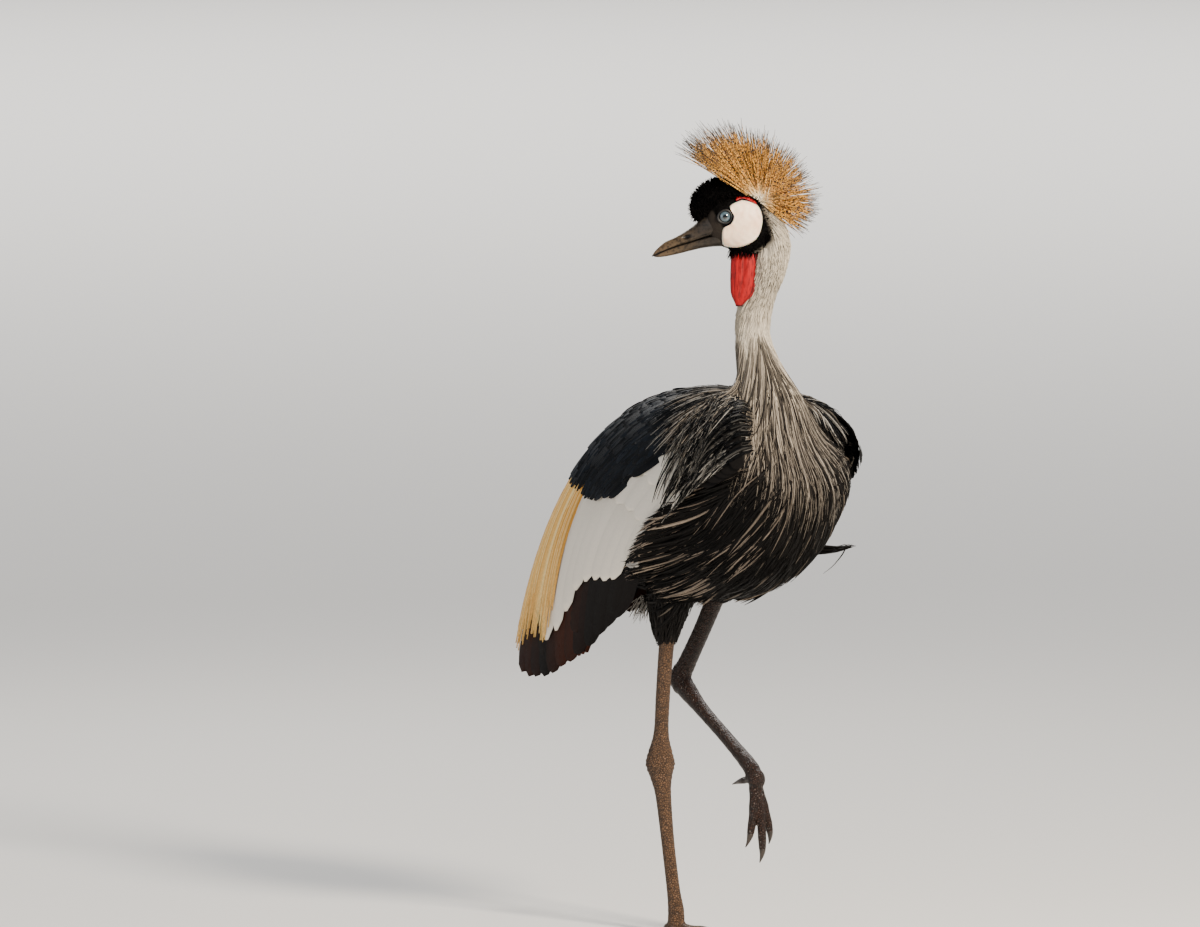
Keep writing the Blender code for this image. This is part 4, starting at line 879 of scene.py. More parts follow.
def streaked(draw, count, steps, dark, pale, share, bright):
    """Colours of strands of which a share is pale and the others dark, more so towards their tips."""
    t = np.linspace(0, 1, steps)[None, :, None]
    light = (draw.random(count) < share)[:, None, None] * (0.25 + 0.75 * np.clip(t / bright, 0, 1))
    tints = dark * (1 - light) + pale * light
    tints = tints * np.exp(draw.normal(0, 0.22, (count, 1, 1)))
    return np.repeat(tints[:, :, None], 3, 2)


def make_hackles():
    """Long lance-shaped plumes that hang from the neck's foot over the breast, swept back at their ends."""
    draw = np.random.default_rng(12)
    count, steps = 3000, 11
    t = 0.10 + draw.random(count) ** 1.2 * 0.36
    turn = draw.vonmises(0.0, 0.9, count)
    turn = np.where(draw.random(count) < 0.15, np.radians(draw.uniform(-140, -75, count)), turn)
    starts = limb_points(NECK, t, turn)
    front = np.cos(turn)
    lengths = (0.110 + 0.090 * np.clip(front + 0.2, 0, 1)) * draw.uniform(0.65, 1.15, count)
    lengths = np.minimum(lengths, (starts[:, 2] - HACKLES_END) * draw.uniform(0.80, 1.08, count))
    jitter = draw.normal(0, 0.055, (count, 3))
    foot = along(NECK, 0.12)[:3]
    left = (np.sin(turn) > 0)[:, None]

    def way(spots, normals, k):
        away = spots - foot
        away[:, 2] = 0
        rows = unit(away) * np.where(left, 0.75 * (1 - k) ** 1.5, 0.06)
        rows[:, 2] -= 1.0
        rows[:, 0] += 0.14 * (1 - k) - 1.7 * max(k - 0.42, 0.0)
        return unit(rows + jitter)

    lifts = varied(draw, ((0, 0.0), (0.2, 0.0032), (0.7, 0.0044), (1, 0.0050)), steps, count, 0.4, 1.2)
    # The strands are painted darker towards their tips, and a share of them near black, most on the left side and
    # more so towards their tips: partly the dark breast showing between them, partly painted shade among the
    # hanging strands
    far = 0.35 + 0.65 * np.linspace(0, 1, steps)[None, :, None, None]
    stops = ((0, NECK_GREY), (0.25, HACKLE * 0.8), (0.60, HACKLE_TIP * 0.52), (1, HACKLE_TIP * 0.62))
    tints = tinted(draw, count, steps, 3, stops, 0.24)
    shade = (draw.random(count) < np.where(turn > 0.3, 0.86, 0.48))[:, None, None, None]
    shade = shade * np.clip(far * 1.2, 0, 1)
    grey = np.clip(np.sin(turn) * 1.5, 0, 0.8)[:, None, None] * np.linspace(0, 1, steps)[None, :, None]
    tints = mix(tints, SILVER * 0.6, np.broadcast_to(grey, tints.shape[:3]))
    tints = tints * (1 - shade) + BREAST_DARK * 1.3 * shade
    seats = np.stack([turn / math.tau + 0.5, t * 2], -1)
    strands("hackles", cover_tree, starts, way, lengths, steps, lifts,
            draw.uniform(0.0006, 0.0014, count), tints, seats)


def make_mantle():
    """Silvery plumes from the neck's foot that flow outwards and back over both shoulders."""
    draw = np.random.default_rng(21)
    count, steps = 2100, 13
    t = 0.08 + draw.random(count) * 0.26
    turn = math.pi + draw.uniform(-2.3, 2.3, count)
    starts = limb_points(NECK, t, turn)
    lengths = draw.uniform(0.06, 0.135, count)
    jitter = draw.normal(0, 0.08, (count, 3))
    foot = along(NECK, 0.15)[:3]

    def way(spots, normals, k):
        away = spots - foot
        away[:, 2] = 0
        rows = unit(away) * 0.9
        rows[:, 0] -= 0.15 + 0.8 * k
        rows[:, 2] -= 1.2
        return unit(rows + jitter)

    lifts = varied(draw, ((0, 0.0), (0.3, 0.0026), (1, 0.0048)), steps, count, 0.6, 1.3)
    tints = streaked(draw, count, steps, SLATE * 0.7, SILVER * 0.8, 0.32, 0.6)
    seats = np.stack([turn / math.tau % 1, t * 2], -1)
    strands("mantle_plumes", cover_tree, starts, way, lengths, steps, lifts,
            draw.uniform(0.0008, 0.0018, count), tints, seats)


def make_breast():
    """Dark plumes with some paler streaks: steep on the breast, and swept back along the flanks over the
    lower front of each wing."""
    draw = np.random.default_rng(13)
    count, steps = 3300, 9
    s = 0.36 + 0.64 * draw.random(count) ** 0.85
    turn = np.radians(draw.uniform(20, 180, count)) * draw.choice((-1, 1), count)
    starts = body_points(s, turn)
    low = np.clip((np.degrees(np.abs(turn)) - 105) / 45, 0, 1)
    rear = np.clip((0.97 - s) / 0.30, 0, 1)
    lengths = (0.060 + 0.055 * (1 - low)) * draw.uniform(0.7, 1.25, count)
    jitter = draw.normal(0, 0.08, (count, 3))

    def way(spots, normals, k):
        rows = np.zeros_like(spots)
        rows[:, 0] = -(0.25 + 1.3 * rear + 0.6 * k)
        rows[:, 2] = -(0.95 - 0.5 * rear * low - 0.45 * k)
        return unit(unit(rows) + jitter)

    lifts = varied(draw, ((0, -0.001), (0.2, 0.0024), (1, 0.0046)), steps, count, 0.6, 1.3)
    tints = streaked(draw, count, steps, BREAST_DARK * 0.75, BREAST_EDGE * 0.5, 0.05, 0.8)
    seats = np.stack([turn / math.tau + 0.5, s], -1)
    strands("breast_plumes", coat_tree, starts, way, lengths, steps, lifts,
            draw.uniform(0.0014, 0.0032, count), tints, seats)


def make_flanks():
    """Long loose plumes that sweep back over each flank to the front of the wing's white."""
    steps = 13
    for side, word in ((-1, "right"), (1, "left")):
        draw = np.random.default_rng(22 + side)
        count = 1400
        s = draw.uniform(0.50, 0.98, count)
        turn = np.radians(draw.uniform(50, 134, count)) * side
        starts = body_points(s, turn)
        room = starts[:, 0] - np.interp(starts[:, 2], *zip(*FLANK_END))
        room = starts[:, 0] - np.interp(starts[:, 2] - 0.3 * room, *zip(*FLANK_END))
        fits = (room > 0.020) & (room < 0.19)
        s, turn, starts, room = s[fits], turn[fits], starts[fits], room[fits]
        count = len(s)
        high = np.clip((starts[:, 2] - 0.490) / 0.09, 0, 1)
        lengths = np.minimum(room * draw.uniform(1.05, 1.40, count), draw.uniform(0.090, 0.165, count))
        jitter = draw.normal(0, 0.055, (count, 3))
        bow = draw.uniform(-0.25, 0.35, count)

        def way(spots, normals, k, high=high, jitter=jitter, bow=bow):
            rows = np.zeros_like(spots)
            rows[:, 0] = -1.0
            rows[:, 2] = -(0.14 + 0.70 * high + bow * (k - 0.4))
            return unit(unit(rows) + jitter)

        lifts = varied(draw, ((0, 0.0), (0.2, 0.0034), (0.6, 0.0050), (1, 0.0058)), steps, count, 0.6, 1.2)
        tints = streaked(draw, count, steps, BREAST_DARK * 0.7, FLANK_PALE, 0.10, 0.9)
        seats = np.stack([turn / math.tau + 0.5, s], -1)
        strands("flank_plumes_" + word, cover_tree, starts, way, lengths, steps, lifts,
                draw.uniform(0.0008, 0.0020, count), tints, seats)
        make_flank_edge(side, word)


def side_courses(side, roots, ends, sags, steps, lifts):
    """Courses down one side of the bird from roots to ends, given as x and z, over body and wing together
    like taut strings, so that they bridge the gap between the two."""
    k = np.linspace(0, 1, steps)[None, :, None]
    middles = (roots + ends) / 2 - np.stack([np.zeros_like(sags), sags], -1)
    courses = roots[:, None] * (1 - k) ** 2 + middles[:, None] * 2 * k * (1 - k) + ends[:, None] * k**2
    spines, outs = np.zeros((len(roots), steps, 3)), np.zeros((len(roots), steps, 3))
    spines[..., (0, 2)] = courses
    outs[..., 1] = side
    rooted = np.zeros(len(roots), bool)
    for strand in range(len(roots)):
        depth = 0.0
        for step in range(steps):
            x, z = courses[strand, step]
            spot, normal, _, _ = cover_tree.ray_cast(Vector((x, side * 0.25, z)), Vector((0, -side, 0)), 0.22)
            if spot is not None:
                depth = abs(spot.y)
                outs[strand, step] = unit(np.array(normal) + outs[strand, step])
                rooted[strand] |= step == 0
            else:
                depth = depth - 0.001
            spines[strand, step, 1] = depth
    rooted &= np.ptp(spines[..., 1], axis=1) < FLANK_BEND
    for _ in range(8):
        held = (spines[:, :-2, 1] + spines[:, 2:, 1]) / 2
        spines[:, 1:-1, 1] = np.maximum(spines[:, 1:-1, 1], held)
        outs[:, 1:-1] = unit(outs[:, :-2] + outs[:, 1:-1] * 2 + outs[:, 2:])
    spines[..., 1] *= side
    return spines + outs * lifts[..., None], outs, rooted


def make_flank_edge(side, word):
    """The plumes that end the flank over the wing in one rounded edge, with broader dark ones low in it."""
    draw = np.random.default_rng(82 + side)
    count, steps = 800, 12
    q = draw.random(count) ** 0.85
    ends = along(FLANK_EDGE, q) + draw.normal(0, 0.003, (count, 2))
    long = draw.uniform(0.06, 0.14, count)
    rise = long * shape(((0, 0.48), (0.45, 0.42), (0.75, 0.40), (1, 0.26)), 101)[(q * 100).astype(int)]
    roots = ends + np.stack([long, rise + draw.normal(0, 0.006, count)], -1)
    sags = long * (0.14 - 0.10 * q) * draw.uniform(0.2, 1.3, count)
    lifts = varied(draw, ((0, -0.001), (0.25, 0.0036), (0.7, 0.0058), (1, 0.0050)), steps, count, 0.6, 1.2)
    lifts = lifts + 0.0075 * np.clip(1.4 - q / 0.20, 0, 1)[:, None] * shape(((0, 0), (0.3, 1), (1, 1)), steps)
    spines, outs, rooted = side_courses(side, roots, ends, sags, steps, lifts)
    profile = shape(((0, 0.35), (0.25, 1.0), (0.7, 0.8), (0.93, 0.30), (1, 0.05)), steps)[None]
    half = profile * draw.uniform(0.0008, 0.0019, (count, 1))
    tints = streaked(draw, count, steps, BREAST_DARK * 0.7, FLANK_PALE, 0.20, 0.9)
    seats = np.stack([q, draw.random(count)], -1)
    spines, outs, half, tints, seats = (values[rooted] for values in (spines, outs, half, tints, seats))
    tops = plume_tops(spines, outs, half, 0.0005)
    made = blades("flank_edge_" + word, plume_look, tops, outs, 0.0003, tints, seats)

    count, steps, across = 22, 11, 7
    q = draw.uniform(0.46, 0.93, count)
    ends = along(FLANK_EDGE, q) + draw.normal(0, 0.002, (count, 2)) + np.array((0.004, 0.001))
    long = draw.uniform(0.040, 0.060, count)
    roots = ends + np.stack([long, long * draw.uniform(0.15, 0.45, count)], -1)
    lifts = varied(draw, ((0, 0.0020), (1, 0.0062)), steps, count, 0.85, 1.15)
    spines, outs, rooted = side_courses(side, roots, ends, long * 0.10, steps, lifts)
    rooted &= np.abs(spines[..., 1]).min(1) > FLANK_TIPS_OUT
    across_way = np.cross(unit(np.gradient(spines, axis=1)), outs)
    half = oval(np.linspace(0, 1, steps))[None] * draw.uniform(0.0040, 0.0070, (count, 1))
    across_way = across_way[:, :, None] * (half[..., None] * np.linspace(-1, 1, across))[..., None]
    tops = spines[:, :, None] + across_way
    stops = ((0, BREAST_DARK), (0.6, BREAST_DARK * 2.5), (1, SILVER * 0.5))
    tints = tinted(draw, count, steps, across, stops, 0.3, SILVER * 0.7)
    seats = draw.random((count, 2))
    tops, outs, tints, seats = (values[rooted] for values in (tops, outs, tints, seats))
    made = blades("flank_tips_" + word, soft_look, tops, outs, 0.0004, tints, seats)


def curved(points, steps):
    """A smooth course through a few places."""
    return along(np.array(points), np.linspace(0, 1, steps))


# Wrist's spur: root and its spread, tip and its spread. Then the long thin feather's course, and the down
# behind the thigh: root, its spread, and the way from there to its tip
SPUR = ((0.086, 0.078, 0.4775), (0.002, 0.002, 0.0085), (0.1600, 0.1140, 0.4832), (0.010, 0.007, 0.0030))
LONG_FEATHER = (
    (0.139, 0.118, 0.482), (0.137, 0.117, 0.4745), (0.134, 0.113, 0.4665), (0.127, 0.106, 0.4550),
    (0.118, 0.099, 0.4460),
)
DOWN_ROOT = ((-0.030, -0.060, 0.414), (0.007, 0.006, 0.004))
DOWN_LONG = (-0.011, -0.004, -0.024)


def make_loose_feathers():
    """What sticks out of the outline: the wrist's spur of stiff feathers with one long thin one on the left,
    and a tuft of down behind the right thigh."""
    draw = np.random.default_rng(90)
    steps, courses, widths, shades = 10, [], [], []
    for _ in range(26):
        root = np.array(SPUR[0]) + draw.uniform(-1, 1, 3) * SPUR[1]
        tip = np.array(SPUR[2]) + draw.uniform(-1, 0.4, 3) * SPUR[3]
        sag = np.array((0.0, 0.0, -0.0035))
        near, far = root * 0.6 + tip * 0.4 + sag, root * 0.25 + tip * 0.75 + sag
        courses.append(curved((root, near, far, tip), steps))
        widths.append(0.0021)
        shades.append(BREAST_DARK * 1.1)
    courses.append(curved(LONG_FEATHER, steps))
    widths.append(0.0010)
    shades.append(BREAST_DARK)
    for number in range(60):
        root = np.array(DOWN_ROOT[0]) + draw.uniform(-1, 1, 3) * DOWN_ROOT[1]
        tip = root + np.array(DOWN_LONG) + draw.normal(0, 0.005, 3)
        courses.append(curved((root, root * 0.5 + tip * 0.5 + draw.normal(0, 0.0015, 3), tip), steps))
        widths.append(0.0007)
        shades.append(SILVER * 1.2 if number % 3 else BREAST_DARK * 2)
    spines = np.array(courses)
    outs = np.broadcast_to(unit(np.array((0.6, -0.6, 0.5))), spines.shape)
    half = shape(((0, 1.0), (0.5, 0.8), (1, 0.1)), steps)[None] * np.array(widths)[:, None]
    tints = np.array(shades)[:, None, None] * np.ones((1, steps, 3, 1))
    tints = tints * np.exp(draw.normal(0, 0.2, (len(spines), 1, 1, 1)))
    made = blades("loose_feathers", plume_look, plume_tops(spines, outs, half, 0.0004), outs, 0.0003, tints,
                  draw.random((len(spines), 2)))


def tip_round(t, start, long, exponent):
    """Share of a vane's width over its tip, which rounds off from start."""
    return np.sqrt(np.clip(1 - np.clip((t - start) / long, 0, 1) ** exponent, 0, 1))


def blunt(t):
    """Share of a broad vane's width from root to its rounded tip."""
    return np.minimum(0.55 + 1.5 * t, 1.0) * tip_round(t, 0.90, 0.1015, 2.4)


def lance(t):
    """Share of a slender plume's width from root to its long point."""
    return np.minimum(0.5 + 2.0 * t, 1.0) * np.clip(1 - np.clip((t - 0.35) / 0.66, 0, 1) ** 1.8, 0.02, 1)


def oval(t):
    """Share of a soft covert's width, which narrows over its last half."""
    return np.minimum(0.5 + 1.8 * t, 1.0) * tip_round(t, 0.50, 0.503, 1.6)


def wing_vanes(name, look, side, vanes, profile, lifts, tints, tilt=0.0011, thick=0.0006, stray=0.0004,
               arch=0.0, patch=VANE_PATCH, sunk=0.0):
    """Feathers that lie on the wing's sheet. Vanes are their first and last rows, starts and ends along it,
    and widths. Tints (feather, step, across, rgb) give the number of points on each one. Sunk is how deep
    their roots go."""
    draw = np.random.default_rng(31)
    first, last, starts, ends, wide = vanes
    count, steps, across = tints.shape[:3]
    t = 1 - (1 - np.linspace(0, 1, steps)) ** 1.3
    reach = starts[:, None] + (ends - starts)[:, None] * t[None]
    row = first[:, None] + (last - first)[:, None] * (t**1.2)[None]
    step = 0.02
    span = wing_points(side, row + step, reach) - wing_points(side, row - step, reach)
    metre = np.linalg.norm(span, axis=-1) / (2 * step)
    half = profile(t)[None] * wide[:, None] / 2 / metre
    a = np.linspace(-1, 1, across)
    rows = row[..., None] + half[..., None] * a
    reaches = np.broadcast_to(reach[..., None], rows.shape)
    spots, outs = wing_points(side, rows, reaches), wing_outs(side, rows, reaches)
    lift = lifts[0] + (lifts[1] - lifts[0]) * t[None, :, None] + draw.uniform(-stray, stray, (count, 1, 1))
    lift = lift - sunk * np.clip(1 - t / 0.15, 0, 1)[None, :, None]
    lean = a[None, None, :] * tilt + arch * (1 - a[None, None, :] ** 2)
    tops = spots + outs * (lift + lean)[..., None]
    seats = np.stack([first, starts], -1)
    return blades(name, look, tops, outs[:, :, across // 2], thick, tints, seats, patch)


def border(stops, rows):
    """A border on the wing's sheet, from stops of (row, reach)."""
    return np.interp(rows, *zip(*stops))


# Where the slate and the white coverts end along the wing, as row and reach
SLATE_END = (
    (0.28, 0.20), (0.315, 0.36), (0.36, 0.50), (0.41, 0.565), (0.50, 0.600), (0.60, 0.616), (1.0, 0.628),
)
WHITE_END = (
    (0.02, 0.64), (0.09, 0.75), (0.14, 0.82), (0.42, 0.835), (0.50, 0.89), (0.56, 0.935), (0.75, 0.945),
)
# Tiers of slate coverts, and of the dark ones at the wing's front edge, with the number in each tier
SLATE_TIERS = (8, 13)
FRONT_TIERS = (5, 11)


def tier(draw, count, rows, end, long, wide, drift=0.0, stray=0.01):
    """One tier of the wing: evenly spaced rows, ends from a function of them, a length and a width."""
    f = (np.arange(count) + draw.uniform(-0.12, 0.12, count)) / max(count - 1, 1)
    first = rows[0] + (rows[1] - rows[0]) * f
    ends = end(first) + draw.uniform(-stray, stray, count)
    starts = np.maximum(ends - long, -0.01)
    return first, first + drift * (ends - starts), starts, ends, wide * draw.uniform(0.93, 1.07, count)


def tiers(parts):
    """Several tiers as one."""
    return tuple(np.concatenate(column) for column in zip(*parts))


def make_flights(side, word, short):
    """Black and chestnut flight feathers, the longest and lowest of the wing."""
    draw = np.random.default_rng(20 + side)
    vanes = tiers((
        tier(draw, 6, (0.10, 0.88), lambda r: 0.965 - short + 0 * r, 0.46, 0.052),
        tier(draw, 12, (0.04, 0.93),
             lambda r: 1.012 - short + 0.010 * np.sin(5 * r) - 0.2 * np.maximum(r - 0.85, 0),
             0.50, 0.056, 0, 0.005),
    ))
    rows = vanes[0]
    count = len(rows)
    rust = np.clip(1 - np.abs(rows - 0.50) / 0.16, 0, 1) + np.clip((rows - 0.70) / 0.2, 0, 1) * 0.55
    body = mix(FLIGHT_BLACK, CHESTNUT, np.clip(rust * draw.uniform(0.6, 1.1, count), 0, 1) * 0.75)
    along_vane = np.linspace(0, 1, 18)[None, :, None, None]
    across_vane = np.abs(np.linspace(-1, 1, 7))[None, None, :, None]
    tints = body[:, None, None, :] * (1.10 - 0.40 * along_vane**2) * (1.0 - 0.35 * across_vane**3)
    made = wing_vanes("flights_" + word, dark_look, side, vanes, blunt, (0.0002, 0.0022), tints, arch=0.0008)
    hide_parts("wing_" + word)


def make_white(side, word, short):
    """White coverts in four tiers, from the wing's edge to its shoulder."""
    draw = np.random.default_rng(40 + side)
    vanes = tiers((
        tier(draw, 9, (0.075, 0.67), lambda r: border(WHITE_END, r) - short, 0.46, 0.034),
        tier(draw, 8, (0.06, 0.72),
             lambda r: np.minimum(border(WHITE_END, r), 0.80) - 0.25 - short, 0.30, 0.032),
        tier(draw, 5, (0.06, 0.40), lambda r: 0.42 + 0 * r - short, 0.30, 0.032),
        tier(draw, 4, (0.10, 0.34), lambda r: 0.33 + 0 * r - short, 0.12, 0.030),
    ))
    # Each vane is painted greyer over its root half, which lies under the tier above it, and a little darker at
    # its edges: painted shade
    stops = ((0, COVERT_SHADE), (0.5, COVERT), (1, COVERT))
    tints = tinted(draw, len(vanes[0]), 12, 7, stops, 0.02, COVERT * 0.93)
    made = wing_vanes("white_coverts_" + word, white_look, side, vanes, blunt, (0.0020, 0.0052), tints,
                      tilt=0.0006, thick=0.0004, stray=0.0002, arch=0.0005)


def make_gold(side, word, short):
    """Loose golden plumes that hang from under the slate coverts over the flights."""
    draw = np.random.default_rng(50 + side)
    count = 130
    f = draw.permutation((np.arange(count) + draw.uniform(0, 1, count)) / count)
    first = 0.70 + 0.31 * f
    last = 0.635 + 0.38 * f
    ends = 0.935 - short + 0.012 * np.sin(9 * f) + draw.uniform(-0.07, 0.012, count)
    starts = 0.50 + 0.05 * draw.random(count)
    shade = draw.random(count)[:, None]
    body = np.where(shade < 0.3, GOLD_DEEP, np.where(shade < 0.7, GOLD, GOLD_PALE))
    body = mix(body, GOLD_DEEP, np.clip(1 - f / 0.25, 0, 1) * 0.6)
    along_plume = np.linspace(0, 1, 14)[None, :, None]
    paler = (0.45 * along_plume**2)[..., 0] * np.ones((count, 1))
    line = mix(body[:, None] * np.ones((1, 14, 1)), GOLD_PALE, paler)
    a = np.abs(np.linspace(-1, 1, 5))[None, None, :, None]
    tints = line[:, :, None] * (1.06 - 0.22 * a**2)
    vanes = (first, last, starts, ends, draw.uniform(0.0045, 0.0095, count))
    made = wing_vanes("gold_plumes_" + word, gold_look, side, vanes, lance, (0.0030, 0.0084), tints,
                      tilt=0.0004, thick=0.0005, stray=0.0012, arch=0.0010, patch=0.01)


def make_slate(side, word, short):
    """Slate coverts of the back and shoulder in tiers, and slender ones among them."""
    draw = np.random.default_rng(60 + side)
    parts = [
        tier(draw, SLATE_TIERS[1], (0.34 + 0.01 * k, 0.99),
             lambda r, k=k: border(SLATE_END, r) - 0.075 * k - short * (k < 2), 0.20, 0.030, 0.03)
        for k in range(SLATE_TIERS[0])]
    parts += [
        tier(draw, FRONT_TIERS[1], (-0.03, 0.40), lambda r, k=k: 0.235 - 0.045 * k + 0 * r, 0.10, 0.022, 0.03)
        for k in range(FRONT_TIERS[0])]
    count = 520
    rows = draw.uniform(0.31, 1.0, count)
    back = draw.random(count) ** 1.3 * 0.55
    ends = np.maximum(border(SLATE_END, rows) - back - short, 0.10)
    starts = np.maximum(ends - draw.uniform(0.12, 0.24, count), -0.01)
    last = np.minimum(rows + 0.03 * np.sin(rows * 5), 1.0)
    parts.append((rows, last, starts, ends, draw.uniform(0.005, 0.012, count)))
    vanes = tiers(parts)
    count = len(vanes[0])
    stops = ((0, SLATE * 0.45), (0.6, SLATE * 0.7), (1, SLATE * 0.9))
    tints = tinted(draw, count, 10, 5, stops, 0.30, SLATE * 1.15)
    # A third of the vanes get a painted blue sheen, which grows towards their tips
    painted_sheen = (draw.random(count) < 0.35)[:, None, None] * np.linspace(0, 0.6, 10)[None, :, None]
    tints = mix(tints, SLATE_BLUE_SHEEN, np.broadcast_to(painted_sheen, tints.shape[:3]))
    front = math.prod(SLATE_TIERS)
    tints[front : front + math.prod(FRONT_TIERS)] = BREAST_DARK * 0.8
    made = wing_vanes("slate_coverts_" + word, slate_look, side, vanes, oval, (0.0034, 0.0082), tints,
                      tilt=0.0008, thick=0.0005, stray=0.0007, patch=0.008)


# Where the shoulder's plumes end along the wing, as row and reach
PLUMES_END = (
    (-0.05, 0.43), (0.045, 0.35), (0.118, 0.27), (0.16, 0.22), (0.25, 0.17), (0.40, 0.10), (1.0, 0.08),
)


def make_shoulder_plumes(side, word):
    """Loose silvery and dark plumes of the shoulder, which hang back over the front of the slate and white
    coverts and leave the rest of them free."""
    draw = np.random.default_rng(70 + side)
    count = 900
    rows = draw.uniform(0.02, 1.0, count) ** 1.6
    last = np.maximum(rows - draw.uniform(0.04, 0.16, count) - 0.35 * rows * (rows > 0.2), -0.04)
    starts = draw.uniform(0.0 if side > 0 else -0.05, 0.14, count)
    reach = np.interp(last, *zip(*PLUMES_END))
    far = np.where(draw.random(count) < 0.16, draw.uniform(1.1, 1.8, count), draw.uniform(0.55, 1.04, count))
    ends = np.minimum(starts + draw.uniform(0.16, 0.40, count), reach * far)
    long = ends - starts > 0.06
    rows, last, starts, ends = rows[long], last[long], starts[long], ends[long]
    count = len(rows)
    light = draw.random(count)
    dark = np.where((light < 0.46)[:, None], SILVER * 0.3, SLATE * 0.5)
    body = np.where((light < 0.26)[:, None], SILVER, dark)
    t = np.linspace(0, 1, 11)[None, :, None, None]
    tints = body[:, None, None, :] * (0.14 + 1.00 * t**0.8) * np.ones((1, 1, 3, 1))
    tints = tints * np.exp(draw.normal(0, 0.18, (count, 1, 1, 1)))
    vanes = (rows, last, starts, ends, draw.uniform(0.0013, 0.0034, count))
    made = wing_vanes("shoulder_plumes_" + word, plume_look, side, vanes, lance, (0.0055, 0.0112), tints,
                      tilt=0.0003, thick=0.0003, stray=0.0015, patch=0.006, sunk=0.010)


def make_wings():
    """Both wings, each tier by tier."""
    for side, word, short in ((-1, "right", 0.0), (1, "left", LEFT_SHORT)):
        make_flights(side, word, short)
        make_white(side, word, short)
        make_gold(side, word, short)
        make_slate(side, word, short)
        make_shoulder_plumes(side, word)


def make_tail():
    """Short fan of chestnut tail feathers under the wings' tips."""
    draw = np.random.default_rng(15)
    count, steps, across = 12, 10, 5
    root, tip = np.array(TAIL_ROOT), np.array(TAIL_TIP)
    down = unit(tip - root)
    out = np.array((-down[2], 0.0, down[0]))
    out = out if out[0] < 0 else -out
    k = np.linspace(-1, 1, count)
    t = np.linspace(0, 1, steps)
    length = np.linalg.norm(tip - root)
    reach = (-0.02 + (length + 0.02 - 0.012 * np.abs(k))[:, None] * t[None])
    away = TAIL_HALF * k[:, None] * (0.35 + 0.65 * t)[None]
    sink = -0.0014 * np.abs(k)[:, None] * 3 + 0.006 * np.sin(math.pi * t)[None]
    spines = root + down * reach[..., None] + out * sink[..., None]
    spines[..., 1] += away
    profile = np.minimum(0.5 + t, 1) * tip_round(t, 0.85, 0.152, 2)
    a = np.linspace(-1, 1, across)
    tops = np.repeat(spines[:, :, None], across, 2)
    tops[..., 1] += a * profile[None, :, None] * 0.012
    tops += out * (0.0012 * (1 - a**2))[None, None, :, None]
    outs = np.broadcast_to(out, spines.shape)
    tints = tinted(draw, count, steps, across, ((0, CHESTNUT_DARK), (1, CHESTNUT * 0.5)), 0.2)
    seats = np.stack([k / 2 + 0.5, 0 * k], -1)
    made = blades("tail_feathers", dark_look, tops, outs, 0.0006, tints, seats, VANE_PATCH)
    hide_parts("tail")


def make_thighs():
    """Short dark plumes down both thighs."""
    draw = np.random.default_rng(16)
    steps = 6
    spines, outs, seats, halves = [], [], [], []
    for number, thigh in enumerate((RIGHT_THIGH, LEFT_THIGH)):
        count = 650
        t = 0.10 + 0.85 * draw.random(count)
        turn = draw.random(count) * math.tau
        starts = limb_points(thigh, t, turn)
        axis = unit(thigh[-1, :3] - thigh[0, :3])
        jitter = draw.normal(0, 0.12, (count, 3))
        lengths = draw.uniform(0.018, 0.034, count)
        lifts = varied(draw, ((0, -0.0005), (0.3, 0.0018), (1, 0.0032)), steps, count, 0.6, 1.3)
        ways = unit(axis + jitter)
        course, out = lay(coat_tree, starts, lambda spots, normals, k, ways=ways: ways, lengths, steps, lifts)
        spines.append(course)
        outs.append(out)
        seats.append(np.stack([turn / math.tau, (t + number) / 2], -1))
        halves.append(draw.uniform(0.0012, 0.0024, (count, 1)))
    spines, outs, seats = np.concatenate(spines), np.concatenate(outs), np.concatenate(seats)
    half = shape(((0, 0.5), (0.3, 1), (0.7, 0.8), (1, 0.08)), steps)[None] * np.concatenate(halves)
    tops = plume_tops(spines, outs, half, 0.0005)
    # Paler towards their tips, which lie lowest on the thigh: a painted sheen
    tints = tinted(draw, len(spines), steps, 3, ((0, BREAST_DARK * 0.7), (1, BREAST_DARK * 1.7)), 0.35)
    made = blades("thigh_feathers", plume_look, tops, outs, 0.0003, tints, seats)


make_neck_coat()
make_hackles()
make_mantle()
make_breast()
make_flanks()
make_loose_feathers()
make_wings()
make_tail()
make_thighs()


# Head


def make_cap():
    """Velvet cap: a core, and the short pile that stands on it."""
    core = lofted("cap", (48, 40, lambda u, v: from_head(head_ring(CAP, u, v, 0.95, PILE * 0.7))))
    tree = surface([core])
    vertex_colours(core.data, "tint", np.broadcast_to(BLACK, (len(core.data.vertices), 3)))
    draw = np.random.default_rng(17)
    count = 5200
    u, v = draw.random(count), draw.random(count)
    starts = from_head(head_ring(CAP, u, v, 0.95))
    tufts = np.floor(u * 44) + 50 * np.floor(v * 20)
    spines, outs = pile(tree, starts, draw, PILE, 0.5, tufts.astype(int))
    finish_pile("cap_pile", spines, outs, draw, np.stack([u, v], -1), BLACK, BLACK * 2.2, 0.0005)
    keep(core, skin_cap_look)
    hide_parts("cap")


